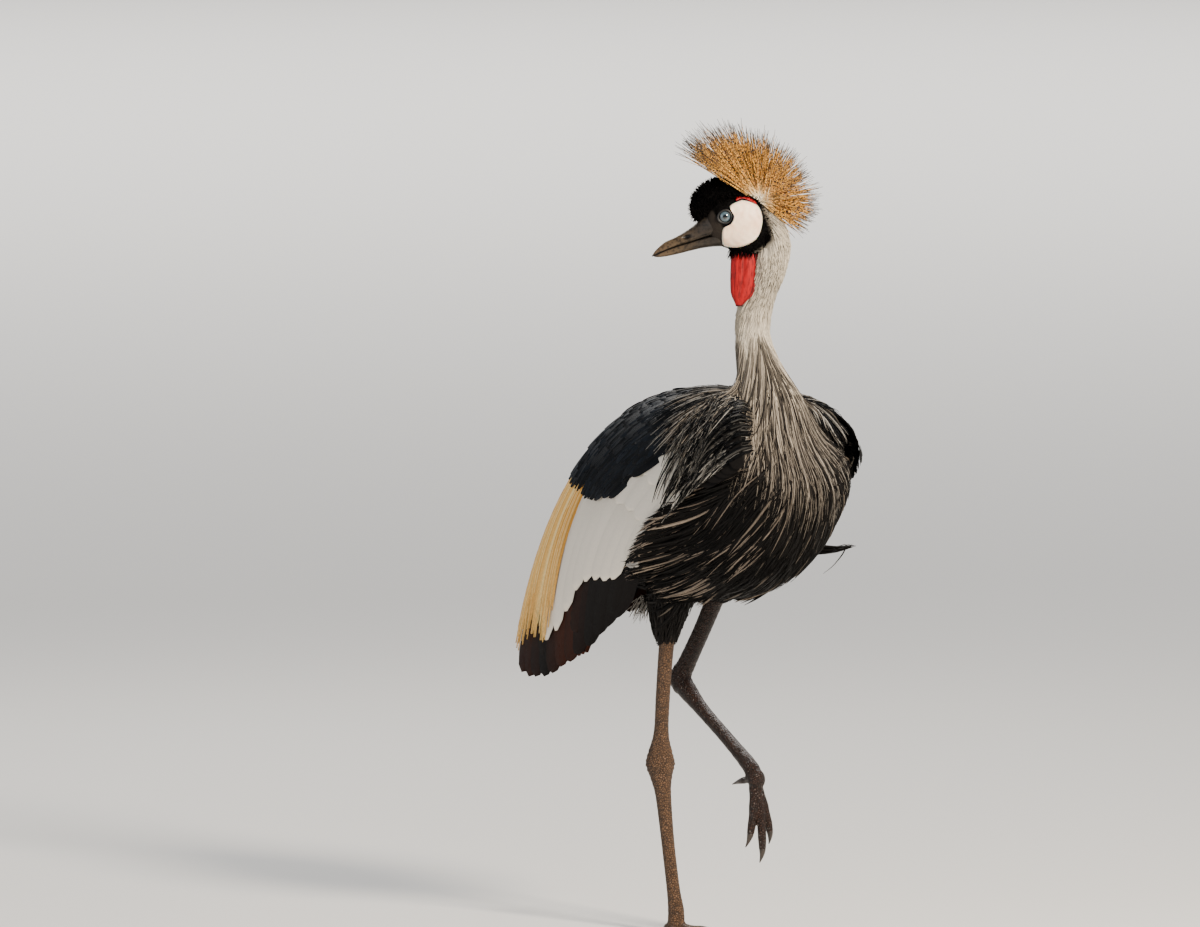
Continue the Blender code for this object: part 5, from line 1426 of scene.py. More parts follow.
def pile(tree, starts, draw, length, lean, tufts=None):
    """Short courses that stand off a surface, leaning back along the head. Those of a tuft lean one way."""
    back = HEAD_ROWS[:3, :3] @ np.array((-1.0, 0.0, -0.15))
    spots, normals = nearest(tree, starts)
    ahead = normals + back * lean + draw.normal(0, 0.22, spots.shape)
    reach = length * draw.uniform(0.7, 1.25, (len(spots), 1, 1))
    if tufts is not None:
        ahead = ahead + draw.normal(0, 0.40, (tufts.max() + 1, 3))[tufts]
        reach = reach * draw.uniform(0.7, 1.25, tufts.max() + 1)[tufts][:, None, None]
    ahead = unit(ahead)
    t = np.array((-0.15, 0.5, 1.0))[None, :, None]
    spines = spots[:, None] + ahead[:, None] * reach * t
    side = unit(np.cross(ahead, draw.normal(0, 1, spots.shape)))
    return spines, np.repeat(side[:, None], 3, 1)


def finish_pile(name, spines, outs, draw, seats, root, tip, half):
    """Turns courses of short velvet pile into a piece, with these colours at root and tip."""
    widths = np.array((1.0, 0.8, 0.1))[None] * half * np.ones((len(spines), 1))
    tops = plume_tops(spines, outs, widths, half)
    tints = tinted(draw, len(spines), 3, 3, ((0, root), (1, tip)), 0.2)
    made = blades(name, velvet_look, tops, outs, 0.0003, tints, seats)


skin_cap_look = skin_look()


def make_face_pile():
    """Short black pile on the face and round the cheek."""
    draw = np.random.default_rng(18)
    count = 5200
    u, v = draw.random(count), draw.random(count) * 0.80
    ring = head_ring(SKULL, u, v, 0.92)
    starts = from_head(ring)
    eye = np.hypot(ring[:, 0], ring[:, 2]) < 0.0105
    cheek = inside_cheek(ring[:, 0], ring[:, 2], 1.0)
    share = black_share(ring) ** 3 * (1 - lore_share(ring))
    keep_these = ~eye & ~cheek & (share > draw.random(count))
    starts, u, v = starts[keep_these], u[keep_these], v[keep_these]
    spines, outs = pile(head_tree, starts, draw, 0.0022, 1.4)
    finish_pile("face_pile", spines, outs, draw, np.stack([u, v], -1), BLACK, BLACK * 2.0, 0.0004)


def inside_cheek(x, z, grow):
    """Whether places in the head's side view lie in the cheek's outline."""
    fine = along(np.vstack([CHEEK, CHEEK[:1]]), np.linspace(0, 1, 121))
    turn = np.arctan2(z - CHEEK_MIDDLE[1], x - CHEEK_MIDDLE[0])
    far = np.hypot(z - CHEEK_MIDDLE[1], x - CHEEK_MIDDLE[0])
    around = np.arctan2(fine[:, 1] - CHEEK_MIDDLE[1], fine[:, 0] - CHEEK_MIDDLE[0])
    reach = np.hypot(fine[:, 1] - CHEEK_MIDDLE[1], fine[:, 0] - CHEEK_MIDDLE[0])
    order = np.argsort(around)
    return far < np.interp(turn, around[order], reach[order], period=math.tau) * grow


def make_cheeks():
    """Bare white cheeks with a raised rim, and the red crescent over each."""
    white, tree, shader = finish("bare_cheek_skin", {
        "Roughness": 0.45, "Subsurface Weight": 0.25, "Subsurface Scale": 0.003,
        "Subsurface Radius": (1.0, 0.35, 0.2), "Specular IOR Level": 0.45})
    place = add(tree, "ShaderNodeTexCoord")
    blotch = add(tree, "ShaderNodeTexNoise", {}, {
        "Vector": place.outputs["Object"], "Scale": 60.0, "Detail": 3.0})
    tint = add(tree, "ShaderNodeValToRGB", {"stops": (
        (0.3, colour("#E8BE9C")), (0.5, colour("#F8D8BA")), (0.8, colour("#FBE2C8")))}, {
        "Fac": blotch.outputs["Fac"]}).outputs["Color"]
    # Along the raised rim the skin is painted paler, a painted highlight where the rim catches the light
    edge = add(tree, "ShaderNodeAttribute", {"attribute_name": "rim"})
    both = add(tree, "ShaderNodeMix", {"data_type": "RGBA"}, {
        "Factor": edge.outputs["Fac"], 6: tint, 7: (*colour("#FCE6D0"), 1.0)})
    tree.links.new(both.outputs[2], shader.inputs["Base Color"])
    grained(tree, shader, 700.0, 3.0, 0.25, 0.0003)
    outline = np.vstack([CHEEK, CHEEK[:1]])
    for side, word in ((1, "left"), (-1, "right")):
        def place_cheek(u, v, side=side):
            edge_line = along(outline, u)
            share = np.minimum(v * 2, 1.0)
            inner = np.maximum(v * 2 - 1, 0.0)
            radial = np.where(v < 0.5, share, 1.0 - inner)
            spot = np.array(CHEEK_MIDDLE) + (edge_line - CHEEK_MIDDLE) * radial[:, None]
            surface_y = head_half(spot[:, 0], spot[:, 1])
            dome = CHEEK_RAISED * (0.72 + 0.28 * np.exp(-(((share - 0.90) / 0.07) ** 2)))
            dome = dome * np.sqrt(np.clip(1 - np.clip((share - 0.90) / 0.101, 0, 1) ** 2, 0, 1))
            wave = 0.00025 * np.sin(spot[:, 0] * 700 + 2 * np.sin(spot[:, 1] * 300))
            y = surface_y + np.where(v < 0.5, dome + wave * share, -0.0012 * (1 - radial))
            return from_head(np.stack([spot[:, 0], side * y, spot[:, 1]], -1))

        cheek = lofted("cheek_skin_" + word, (96, 48, place_cheek))
        local = to_head(mesh_points(cheek.data))
        # The rim's mark, for the painted highlight along it
        rim = ~inside_cheek(local[:, 0], local[:, 2], 0.93)
        vertex_values(cheek.data, "rim", rim.astype(float))
        keep(cheek, white)
        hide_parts("cheek_" + word)

        def place_crescent(u, v, side=side):
            spot = along(CRESCENT, v)
            wide = CRESCENT_HALF * np.sin(math.pi * np.clip(v, 0, 1)) ** 0.6
            c, s = np.cos(math.tau * u), np.sin(math.tau * u)
            ahead = unit(along(CRESCENT, v + 0.02) - along(CRESCENT, v - 0.02))
            cross = np.stack([-ahead[:, 1], ahead[:, 0]], -1)
            place_xz = spot + cross * (wide * c)[:, None]
            y = head_half(place_xz[:, 0], place_xz[:, 1]) + CRESCENT_OUT + s * 0.0012 * (wide / CRESCENT_HALF)
            return from_head(np.stack([place_xz[:, 0], side * y, place_xz[:, 1]], -1))

        crescent = lofted("red_crescent_" + word, (24, 36, place_crescent))
        keep(crescent, red_look)


def make_red_look():
    """Bare red skin: soft, folded and slightly moist."""
    look, tree, shader = finish("bare_red_skin", {
        "Roughness": 0.50, "Subsurface Weight": 0.06, "Subsurface Scale": 0.002,
        "Subsurface Radius": (1.0, 0.2, 0.1), "Specular IOR Level": 0.25})
    place = add(tree, "ShaderNodeTexCoord")
    stretch = add(tree, "ShaderNodeMapping", {}, {
        "Vector": place.outputs["Object"], "Scale": (1.0, 1.0, 0.25)})
    fold = grained(tree, shader, 420.0, 4.0, 0.6, 0.0008, stretch.outputs[0])
    tint = add(tree, "ShaderNodeValToRGB", {"stops": (
        (0.30, colour("#5A0508")), (0.50, colour("#90060B")), (0.75, colour("#A2080F")))}, {
        "Fac": fold}).outputs["Color"]
    # Where the mesh's "deep" value is high the red turns near black: painted shade in the pouch's creases, and its
    # dark lowest rim
    deep = add(tree, "ShaderNodeAttribute", {"attribute_name": "deep"})
    crease = add(tree, "ShaderNodeMix", {"data_type": "RGBA"}, {
        "Factor": deep.outputs["Fac"], 6: tint, 7: (*colour("#330204"), 1.0)})
    tree.links.new(crease.outputs[2], shader.inputs["Base Color"])
    return look


red_look = make_red_look()


def make_pouch():
    """Hanging red pouch with upright folds and a dark lower rim."""
    down = np.array(HEAD.to_3x3().inverted() @ Vector((0.0, 0.0, -1.0)))
    fore = np.array((1.0, 0.0, 0.0))
    fore = unit(fore - down * fore.dot(down))
    top = np.array((POUCH_TOP[0], 0.0, POUCH_TOP[1]))

    def place(u, v):
        halves = along(POUCH, v)
        turn = math.tau * u
        fore_share = np.cos(turn)
        # A groove down the middle, a crease along the hind rim, and fine folds
        groove = 0.16 * np.exp(-(((fore_share - 0.12) / 0.11) ** 2))
        groove = groove + 0.22 * np.exp(-(((fore_share + 0.70) / 0.08) ** 2))
        fine = 0.025 * np.cos(13 * turn + 1.2 * np.sin(5 * v)) + 0.012 * np.cos(23 * turn - 3 * v)
        fold = 1 + (fine - groove) * np.sin(math.pi * np.clip(v * 1.05, 0, 1)) ** 0.6
        middle = top + down * (POUCH_LONG * v)[:, None] + fore * halves[:, 2:3]
        spot = middle + fore * (halves[:, 0] * fore_share)[:, None]
        spot = spot + np.stack([0 * u, halves[:, 1] * np.sin(turn) * fold, 0 * u], -1)
        return from_head(spot)

    pouch = lofted("red_pouch", (120, 60, place))
    hang = to_head(mesh_points(pouch.data)) - top
    v = np.clip(hang @ down / POUCH_LONG, 0, 1)
    halves = along(POUCH, v)
    fore_share = (hang @ fore - halves[:, 2]) / halves[:, 0]
    # Painted shade darkens the middle groove and the crease along the hind rim; the lowest rim is darkened too
    deep = 0.55 * np.exp(-(((fore_share - 0.12) / 0.10) ** 2)) * (1 - v)
    deep = deep + 0.8 * np.exp(-(((fore_share + 0.72) / 0.07) ** 2))
    vertex_values(pouch.data, "deep", np.maximum(deep * (v > 0.1), np.clip((v - 0.965) / 0.02, 0, 1)))
    # Ragged black feathers hang over its top
    draw = np.random.default_rng(23)
    count = 420
    turn = draw.random(count) * math.tau
    root = top + down * draw.uniform(-0.004, 0.004, (count, 1)) + fore * (0.0140 * np.cos(turn))[:, None]
    root[:, 1] += 0.0100 * np.sin(turn)
    way = down + (root - top) * 12 + draw.normal(0, 0.15, (count, 3))
    reach = draw.uniform(0.006, 0.017, (count, 1, 1))
    spines = root[:, None] + unit(way)[:, None] * reach * np.array((0.0, 0.5, 1.0))[None, :, None]
    outs = unit(np.stack([np.cos(turn), 1.5 * np.sin(turn), 0 * turn], -1))
    outs = np.repeat((outs @ HEAD_ROWS[:3, :3].T)[:, None], 3, 1)
    seats = draw.random((count, 2))
    finish_pile("throat_fringe", from_head(spines), outs, draw, seats, BLACK, BLACK * 1.5, 0.0007)
    keep(pouch, red_look)
    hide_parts("throat_pouch")


def bill_look():
    """Horn of the bill: dense keratin, dark at its root and tan towards its tip, with darker mottling."""
    look, tree, shader = finish("bill_keratin", {"Roughness": 0.45, "Specular IOR Level": 0.3})
    tip = add(tree, "ShaderNodeAttribute", {"attribute_name": "tip"})
    base = add(tree, "ShaderNodeValToRGB", {"stops": (
        (0.0, colour("#211D19")), (0.10, colour("#241F1A")), (0.35, colour("#2E2720")), (0.65, colour("#453828")),
        (1.0, colour("#544330")))}, {
        "Fac": tip.outputs["Fac"]}).outputs["Color"]
    spots = grained(tree, shader, 220.0, 4.0, 0.4, 0.0004, rough=0.65)
    mottle = add(tree, "ShaderNodeValToRGB", {"stops": ((0.38, 0.25), (0.50, 1.0), (0.75, 1.25))}, {
        "Fac": spots}).outputs["Color"]
    both = add(tree, "ShaderNodeMix", {"data_type": "RGBA", "blend_type": "MULTIPLY"}, {
        "Factor": 0.9, 6: base, 7: mottle})
    # Where the mesh's "deep" value is high the horn is painted near black: painted shade along the mouth's line
    # and inside each nostril
    deep = add(tree, "ShaderNodeAttribute", {"attribute_name": "deep"})
    dark = add(tree, "ShaderNodeMix", {"data_type": "RGBA"}, {
        "Factor": deep.outputs["Fac"], 6: both.outputs[2], 7: (*(BLACK * 0.5), 1.0)})
    tree.links.new(dark.outputs[2], shader.inputs["Base Color"])
    return look


def make_bill():
    """Upper and lower bill, with nostrils, a groove before each and the line of the mouth."""
    look = bill_look()
    for name, node, stations, upper in (
        ("bill_ridge", "bill_upper", UPPER_BILL, True),
        ("bill_keel", "bill_lower", LOWER_BILL, False),
    ):
        def place(u, v, stations=stations, upper=upper):
            x, top, bottom, half = np.moveaxis(along(stations, v), -1, 0)
            # The halves meet inside, so that no light shows along the mouth
            top, bottom = (top, bottom - MOUTH_CLOSED) if upper else (top + MOUTH_CLOSED, bottom)
            c, s = np.cos(math.tau * u), np.sin(math.tau * u)
            middle = bottom + 0.35 * (top - bottom) if upper else top - 0.35 * (top - bottom)
            y = half * power(s, 0.9) * (1 - 0.6 * np.clip(1 - v / 0.20, 0, 1) ** 2)
            if upper:
                ridge = power(c, np.where(c > 0, 0.85, 0.6))
                y = y * np.where(c > 0, 1 - 0.35 * np.clip(c, 0, 1), 1.0)
                z = middle + np.where(c > 0, top - middle, middle - bottom) * ridge
                near = ((x - NOSTRIL[0]) / NOSTRIL_HALF[0]) ** 2 + ((z - NOSTRIL[1]) / NOSTRIL_HALF[1]) ** 2
                y = y - np.sign(y) * 0.0042 * np.exp(-(near**1.5))
                groove = np.exp(-(((z - (-0.0190 - 0.12 * (x - 0.05))) / 0.0012) ** 2))
                y = y - np.sign(y) * 0.0007 * groove * np.clip((0.075 - x) / 0.01, 0, 1)
            else:
                ridge = power(c, np.where(c > 0, 0.6, 0.85))
                z = middle + np.where(c > 0, top - middle, middle - bottom) * ridge
            return from_head(np.stack([x, y, z], -1))

        bill = lofted(name, (96, 90, place))
        local = to_head(mesh_points(bill.data))
        vertex_values(bill.data, "tip", np.clip((local[:, 0] - 0.008) / 0.086, 0, 1))
        # Painted shade along the mouth's line and in each nostril's hollow, as the "deep" value
        mouth = np.interp(local[:, 0], stations[:, 0], stations[:, 2 if upper else 1])
        deep = np.exp(-(((local[:, 2] - mouth) / 0.0010) ** 2))
        hole = np.sum(((local[:, (0, 2)] - NOSTRIL) / NOSTRIL_HALF) ** 2, -1)
        deep = np.maximum(deep, np.exp(-((hole / 0.9) ** 3)) * upper)
        vertex_values(bill.data, "deep", deep)
        keep(bill, look)
        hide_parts(node)


def make_eyes():
    """Wet eyeballs with a blue-grey iris, and a ring of black eyelid round each."""
    look, tree, shader = finish("wet_eye", {
        "Roughness": 0.12, "Coat Weight": 1.0, "Coat Roughness": 0.02, "Specular IOR Level": 0.6})
    off = add(tree, "ShaderNodeAttribute", {"attribute_name": "off_axis"})
    rings = add(tree, "ShaderNodeValToRGB", {"stops": (
        (0.0, BLACK * 0.4), (PUPIL_RADIUS / 0.01, BLACK * 0.4), (PUPIL_RADIUS / 0.01 + 0.02, colour("#2C3C45")),
        (0.40, colour("#475B66")), (0.54, colour("#3E515C")), (IRIS_RADIUS / 0.01 - 0.02, colour("#182126")),
        (IRIS_RADIUS / 0.01, BLACK))}, {
        "Fac": off.outputs["Fac"]}).outputs["Color"]
    place = add(tree, "ShaderNodeTexCoord")
    rays = add(tree, "ShaderNodeTexNoise", {}, {
        "Vector": place.outputs["Object"], "Scale": 1500.0, "Detail": 2.0})
    shade = add(tree, "ShaderNodeValToRGB", {"stops": ((0.3, 0.7), (0.7, 1.1))}, {
        "Fac": rays.outputs["Fac"]}).outputs["Color"]
    both = add(tree, "ShaderNodeMix", {"data_type": "RGBA", "blend_type": "MULTIPLY"}, {
        "Factor": 1.0, 6: rings, 7: shade})
    tree.links.new(both.outputs[2], shader.inputs["Base Color"])
    rim, rim_tree, rim_shader = finish("black_eyelid_skin", {
        "Roughness": 0.5, "Base Color": (*(BLACK * 2.0), 1.0)})
    grained(rim_tree, rim_shader, 1400.0, 2.0, 0.4, 0.0003)
    for side, word in ((1, "left"), (-1, "right")):
        form = bmesh.new()
        bmesh.ops.create_uvsphere(form, u_segments=64, v_segments=48, radius=EYE_RADIUS)
        bmesh.ops.rotate(form, verts=form.verts, matrix=Matrix.Rotation(math.radians(90), 3, "X"))
        for corner in form.verts:
            # The clear front bulges a little past the ball
            facing = max(corner.co.y * side / EYE_RADIUS, 0.0)
            corner.co *= 1.0 + 0.03 * max(facing - 0.75, 0.0) / 0.25
        eye = new_thing("eyeball_" + word, form)
        spots = mesh_points(eye.data)
        off_axis = np.where(spots[:, 1] * side > 0, np.hypot(spots[:, 0], spots[:, 2]) / 0.01, 1.0)
        vertex_values(eye.data, "off_axis", off_axis)
        eye.data.transform(Matrix.Translation((0.0, side * EYE_OUT, 0.0)))
        eye.data.transform(HEAD)
        keep(eye, look)
        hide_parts("eye_" + word)

        def place_lid(u, v, side=side):
            turn = math.tau * v
            c, s = np.cos(math.tau * u), np.sin(math.tau * u)
            ring = LID_RING + 0.0013 * c + 0.0003 * np.cos(3 * turn)
            x, z = np.cos(turn) * ring * 1.04, np.sin(turn) * ring * 0.97
            return from_head(np.stack([x, side * (LID_OUT - 0.0004 + 0.0016 * s), z], -1))

        lid = lofted("eyelid_" + word, (16, 72, place_lid))
        keep(lid, rim)


def crest_look():
    """Stiff golden bristle with dark specks along it."""
    look, tree, shader = finish("crest_bristle", {
        "Roughness": 0.5, "Sheen Weight": 0.1, "Specular IOR Level": 0.4})
    tint = add(tree, "ShaderNodeAttribute", {"attribute_name": "tint"})
    place = add(tree, "ShaderNodeUVMap", {"uv_map": "Barbs"})
    # Specks are about 3 mm apart along a bristle
    cell = add(tree, "ShaderNodeMapping", {}, {"Vector": place.outputs["UV"], "Scale": (0.5, 3.4, 1.0)})
    specks = add(tree, "ShaderNodeTexNoise", {"noise_dimensions": "2D"}, {
        "Vector": cell.outputs[0], "Scale": 1.0, "Detail": 1.0})
    share = add(tree, "ShaderNodeValToRGB", {"stops": ((0.46, 1.0), (0.52, 0.0))}, {
        "Fac": specks.outputs["Fac"]}).outputs["Color"]
    free = add(tree, "ShaderNodeAttribute", {"attribute_name": "speckled"})
    amount = add(tree, "ShaderNodeMath", {"operation": "MULTIPLY"}, {0: share, 1: free.outputs["Fac"]})
    both = add(tree, "ShaderNodeMix", {"data_type": "RGBA"}, {
        "Factor": amount.outputs[0], 6: tint.outputs["Color"], 7: (*CREST_SPECK, 1.0)})
    tree.links.new(both.outputs[2], shader.inputs["Base Color"])
    return look


def make_crest():
    """The crest bristle by bristle."""
    draw = np.random.default_rng(19)
    count, steps = 1150, 14
    swing = CREST_MIDDLE + CREST_HALF * (2 * draw.random(count) ** 1.6 - 1)
    lean = CREST_SIDE * np.clip(draw.normal(0, 0.55, count), -1, 1)
    free = np.abs(swing - CREST_PARTING) > CREST_PARTING_HALF
    swing, lean = swing[free], lean[free]
    count = len(swing)
    up = np.stack([np.cos(swing), 0 * swing, np.sin(swing)], -1)
    ways = up * np.cos(lean)[:, None]
    ways[:, 1] = np.sin(lean)
    back = (swing - CREST_MIDDLE + CREST_HALF) / (2 * CREST_HALF)
    long = along(CREST_LONG, back)[:, 0] * (1 - 0.12 * (lean / CREST_SIDE) ** 2)
    long = long * draw.uniform(0.72, 1.0, count) ** 0.6
    t = np.linspace(0, 1, steps)
    bend = np.stack([-ways[:, 2], 0 * swing, ways[:, 0]], -1) * draw.normal(0, 0.05, (count, 1))
    bend += draw.normal(0, 0.02, (count, 3))
    knob = draw.normal(0, 1, (count, 3)) * np.array((0.0030, 0.0034, 0.0022))
    reach = (long[:, None] * t[None])[..., None]
    spines = np.array(CREST_PLACE) + knob[:, None] + ways[:, None] * reach
    spines = spines + bend[:, None] * reach * t[None, :, None] ** 1.5
    spin = draw.uniform(0, math.tau, (count, 1)) + t[None] * 9.0
    side = unit(np.cross(ways, np.array((0.1, 1.0, 0.2))))
    other = np.cross(ways, side)
    outs = side[:, None] * np.cos(spin)[..., None] + other[:, None] * np.sin(spin)[..., None]
    half = varied(draw, ((0, 0.9), (0.5, 1.0), (0.85, 0.7), (1, 0.15)), steps, count, 0.00045, 0.0007)
    outs = outs @ HEAD_ROWS[:3, :3].T
    tops = plume_tops(from_head(spines), outs, half, 0.0004)
    stops = (
        (0, CREST_BASE * 0.8), (0.08, CREST_BASE), (0.20, CREST_PALE), (0.42, CREST_GOLD),
        (0.84, CREST_GOLD * 0.9), (0.93, CREST_SPECK), (1, BLACK * 2),
    )
    tints = tinted(draw, count, steps, 3, stops, 0.14)
    seats = np.stack([back, lean / CREST_SIDE / 2 + 0.5], -1)
    made = blades("crest_bristles", crest_look(), tops, outs, 0.0003, tints, seats)
    speckled = shape(((0, 0), (0.18, 0), (0.35, 1), (1, 1)), steps)[None, :, None] * np.ones((count, 1, 3))
    vertex_values(made.data, "speckled", speckled.ravel())
    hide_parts("crest")


make_cap()
make_face_pile()
make_cheeks()
make_pouch()
make_bill()
make_eyes()
make_crest()


# Legs


def leg_look(name, light, crack, roughness, cell):
    """Scaled leg skin: small horny scales with darker furrows between them."""
    look, tree, shader = finish(name, {"Roughness": roughness, "Specular IOR Level": 0.3})
    place = add(tree, "ShaderNodeTexCoord")
    scales = add(tree, "ShaderNodeTexVoronoi", {"feature": "DISTANCE_TO_EDGE"}, {
        "Vector": place.outputs["Object"], "Scale": 1 / cell})
    blotch = add(tree, "ShaderNodeTexNoise", {}, {
        "Vector": place.outputs["Object"], "Scale": 130.0, "Detail": 4.0})
    base = add(tree, "ShaderNodeValToRGB", {"stops": ((0.3, light * 0.62), (0.55, light), (0.75, light * 1.25))}, {
        "Fac": blotch.outputs["Fac"]}).outputs["Color"]
    furrow = add(tree, "ShaderNodeValToRGB", {"stops": ((0.0, 1.0), (0.20, 0.0))}, {
        "Fac": scales.outputs["Distance"]}).outputs["Color"]
    both = add(tree, "ShaderNodeMix", {"data_type": "RGBA"}, {"Factor": furrow, 6: base, 7: (*crack, 1.0)})
    tree.links.new(both.outputs[2], shader.inputs["Base Color"])
    height = add(tree, "ShaderNodeValToRGB", {"stops": ((0.0, 0.0), (0.25, 1.0))}, {
        "Fac": scales.outputs["Distance"]}).outputs["Color"]
    bump = add(tree, "ShaderNodeBump", {}, {"Height": height, "Strength": 1.0, "Distance": 0.0010})
    tree.links.new(bump.outputs["Normal"], shader.inputs["Normal"])
    return look


def toe_courses(place, lift, curl):
    """Each toe's course of points and radii, and its claw's, in the bird's frame."""
    made = []
    for name, spread, length, radius, tip_radius, _ in TOES:
        hind = name == "hind"
        spread = spread * LIFTED_SPREAD if lift and not hind else spread
        turned = np.array(place @ Matrix.Rotation(spread, 4, "Z"))
        bend = math.radians(HIND_BEND[1 if lift else 0]) if hind else 0.0
        spot = np.array((0.0, 0.0, HIND_HEIGHT if hind else radius * SOLE))
        steps = 24
        course = []
        for i in range(steps + 1):
            t = i / steps
            r = (radius + (tip_radius - radius) * t) * (1.0 + TOE_PADS * math.sin(3 * math.pi * t) ** 2)
            if not lift and not hind:
                spot[2] = r * SOLE
            course.append((*spot, r))
            heading = np.array((math.cos(bend), 0.0, -math.sin(bend)))
            bend += curl / steps * (HIND_CURL if hind else 1.0)
            spot = spot + heading * (length / steps)
        last = np.array(course[-1][:3])
        fall = last[2] + heading[2] * CLAW_LONG - CLAW_TIP if not lift else LIFTED_CLAW_DROP
        claw = []
        for i in range(9):
            t = i / 8 * 1.06 - 0.06
            spot = last + heading * CLAW_LONG * t - np.array((0.0, 0.0, fall * t * abs(t)))
            claw.append((*spot, tip_radius * CLAW_ROOT * (1 - max(t, 0) ** 1.2) + CLAW_TIP))
        pair = []
        for row in (np.array(course), np.array(claw)):
            pair.append(np.column_stack([row[:, :3] @ turned[:3, :3].T + turned[:3, 3], row[:, 3]]))
        made.append((name, *pair))
    return made


def stand(thing):
    """Flattens what would sink into the floor."""
    for corner in thing.data.vertices:
        corner.co.z = max(corner.co.z, FLOOR_GAP)


def make_legs():
    """Both legs with their feet and nails: the standing leg dry and paler, the lifted one wet and darker still
    with painted shade.
    """
    dry = leg_look("scaled_dry_leg_skin", colour("#664B35"), colour("#1E1610"), 0.6, 0.0026)
    # The lifted leg is darker partly as it is wet, and partly with painted shade
    wet_shaded = leg_look("scaled_wet_shaded_leg_skin", colour("#35221A") * 0.8, colour("#0C0705"), 0.42, 0.0030)
    claw_look, tree, shader = finish("claw_keratin", {"Roughness": 0.35})
    place = add(tree, "ShaderNodeTexCoord")
    grain = add(tree, "ShaderNodeTexNoise", {}, {
        "Vector": place.outputs["Object"], "Scale": 300.0, "Detail": 3.0})
    tint = add(tree, "ShaderNodeValToRGB", {"stops": ((0.3, colour("#14100D")), (0.7, colour("#3A2F27")))}, {
        "Fac": grain.outputs["Fac"]}).outputs["Color"]
    tree.links.new(tint, shader.inputs["Base Color"])
    right = Matrix.Translation(RIGHT_FOOT) @ Matrix.Rotation(RIGHT_FOOT_TURN, 4, "Z")
    left = Matrix.Translation(LEFT_FOOT) @ Matrix.Rotation(LEFT_FOOT_HANG, 4, "Y")
    for word, leg, foot, lift, curl, look in (
        ("right", RIGHT_LEG, right, False, 0.0, dry),
        ("left", LEFT_LEG, left, True, LEFT_FOOT_CURL, wet_shaded),
    ):
        form = bmesh.new()
        joint = leg[np.argmax(leg[:, 3]), :3] if word == "right" else leg[4, :3]

        def place_leg(u, v, leg=leg, joint=joint):
            spots = limb_points(leg, v, u * math.tau)
            middle = along(leg, v)[:, :3]
            near = np.exp(-((np.linalg.norm(middle - joint, axis=-1) / 0.028) ** 2))
            rings = 1 + near * 0.035 * np.sin(middle[:, 2] * 1100) + 0.012 * np.sin(middle[:, 2] * 700)
            return middle + (spots - middle) * rings[:, None]

        rolled(form, 40, 220, place_leg)
        bmesh.ops.create_uvsphere(form, u_segments=24, v_segments=16, radius=1.0, matrix=(
            foot @ Matrix.Translation((0.0, 0.0, PAD_HEIGHT)) @ Matrix.Diagonal((*PAD_HALF, 1.0))))
        claws = []
        for name, toe, claw in toe_courses(foot, lift, curl):
            rolled(form, 20, 48, lambda u, v, toe=toe: limb_points(toe, v, u * math.tau))
            claws.append((name, claw))
        thing = closed("leg_" + word, form)
        if not lift:
            stand(thing)
        thing = remeshed(thing, FINE_CELL, 2)
        keep(thing, look)
        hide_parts("shin_" + word, "tarsus_" + word, "foot_" + word)
        for name, claw in claws:
            piece = lofted("nail_" + word + "_" + name, (
                16, 24, lambda u, v, claw=claw: limb_points(claw, v, u * math.tau)))
            if not lift:
                stand(piece)
            keep(piece, claw_look)
            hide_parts("claw_" + word + "_" + name)


make_legs()


# Studio


def make_floor():
    """Matt floor under the bird."""
    form = bmesh.new()
    bmesh.ops.create_grid(form, x_segments=1, y_segments=1, size=FLOOR_HALF)
    floor = new_thing("studio_floor", form)
    look, _, _ = finish("pale_matt_floor", {"Roughness": 0.9, "Base Color": (*colour("#D3D1CD"), 1.0)})
    floor.data.materials.append(look)


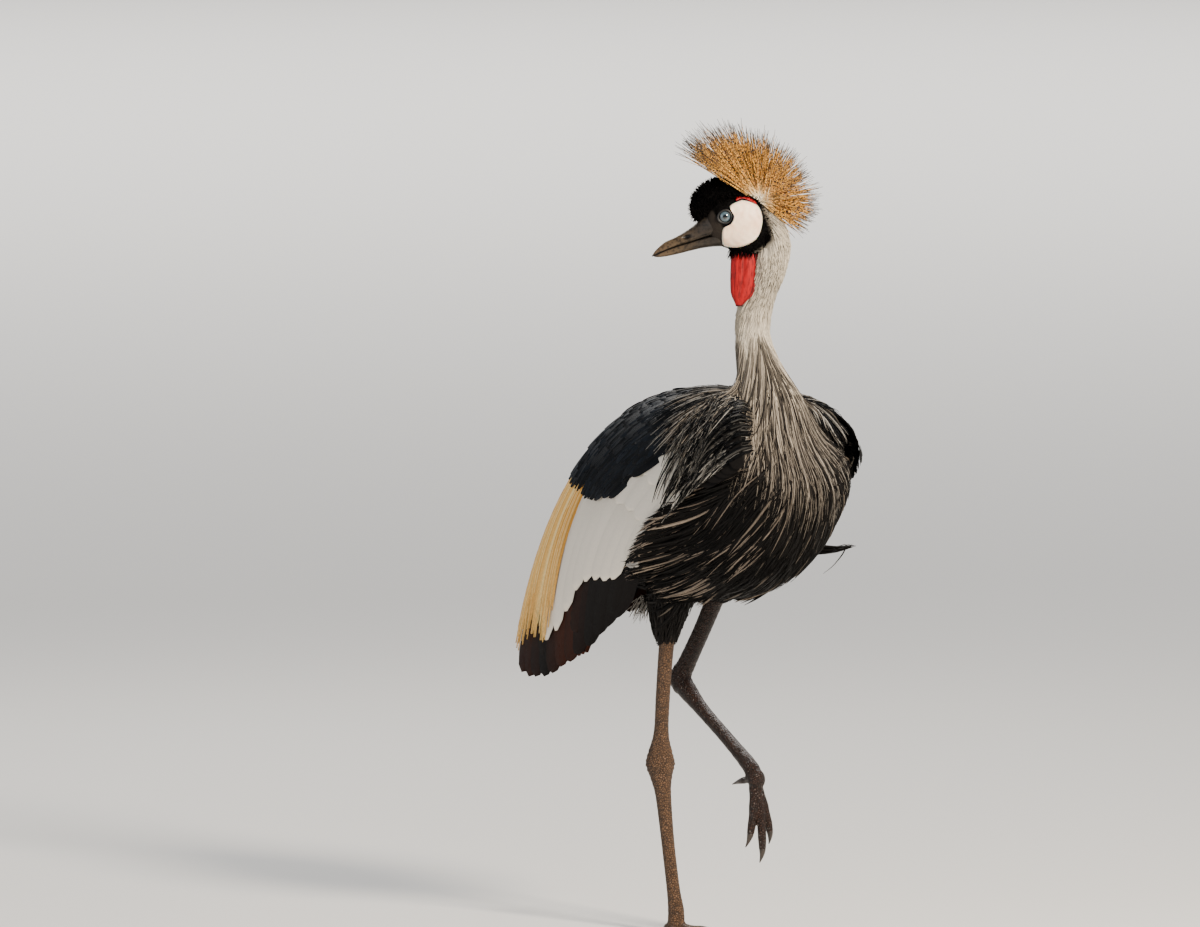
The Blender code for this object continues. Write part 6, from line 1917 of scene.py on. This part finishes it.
def area_light(name, spot, target, size, watts, tint):
    """A round soft light at a spot, turned to its target."""
    lamp = bpy.data.lights.new(name, "AREA")
    lamp.shape = "DISK"
    lamp.size = size
    lamp.energy = watts
    lamp.color = tint
    thing = linked(name, lamp)
    thing.location = spot
    thing.rotation_euler = (Vector(target) - Vector(spot)).to_track_quat("-Z", "Y").to_euler()


# Lights round the bird: how far right of its middle, towards the camera and up, width, watts and tint
LIGHTS = (
    ("key", 2.0, 2.8, 1.9, 0.8, 410, (1.0, 0.90, 0.76)),
    ("fill", -3.0, 1.6, 0.8, 2.5, 30, (0.86, 0.92, 1.0)),
    ("rim", -0.8, -2.6, 2.2, 1.5, 45, (1.0, 0.97, 0.92)),
)
BACKDROP_FAR = 22.0


def make_studio():
    """Floor, daylight from all round, soft lights and the photograph's camera."""
    make_floor()
    world = bpy.data.worlds.new("studio")
    bpy.context.scene.world = world
    world.use_nodes = True
    back = world.node_tree.nodes["Background"]
    back.inputs["Color"].default_value = (0.86, 0.90, 1.0, 1.0)
    back.inputs["Strength"].default_value = 0.32
    e, a = CAMERA_ELEVATION, CAMERA_AZIMUTH
    right = Vector((math.cos(a), math.sin(a), 0.0))
    toward = Vector((math.sin(a) * math.cos(e), -math.cos(a) * math.cos(e), math.sin(e)))
    up = toward.cross(right)
    middle = Vector((0.0, 0.0, 0.5)) + SHIFT
    for name, beside, before, above, size, watts, tint in LIGHTS:
        spot = middle + right * beside + toward * before + Vector((0, 0, above))
        area_light(name, spot, middle, size, watts, tint)
    far = middle - Vector((toward.x, toward.y, 0.0)) * BACKDROP_FAR
    area_light("backdrop", far + Vector((0.0, 0.0, 13.0)), far, 22.0, 7000, (1.0, 0.98, 0.95))
    camera_data = bpy.data.cameras.new("camera")
    camera_data.sensor_width = SENSOR
    camera_data.lens = SENSOR * CAMERA_DISTANCE / (PHOTO[0] * PIXEL)
    camera_data.clip_end = 100
    camera = linked("camera", camera_data)
    target = right * (FRAME_MIDDLE[0] * PIXEL) + up * (FRAME_MIDDLE[1] * PIXEL) + SHIFT
    camera.location = target + toward * CAMERA_DISTANCE
    camera.rotation_euler = (-toward).to_track_quat("-Z", "Y").to_euler()
    bpy.context.scene.camera = camera


make_studio()
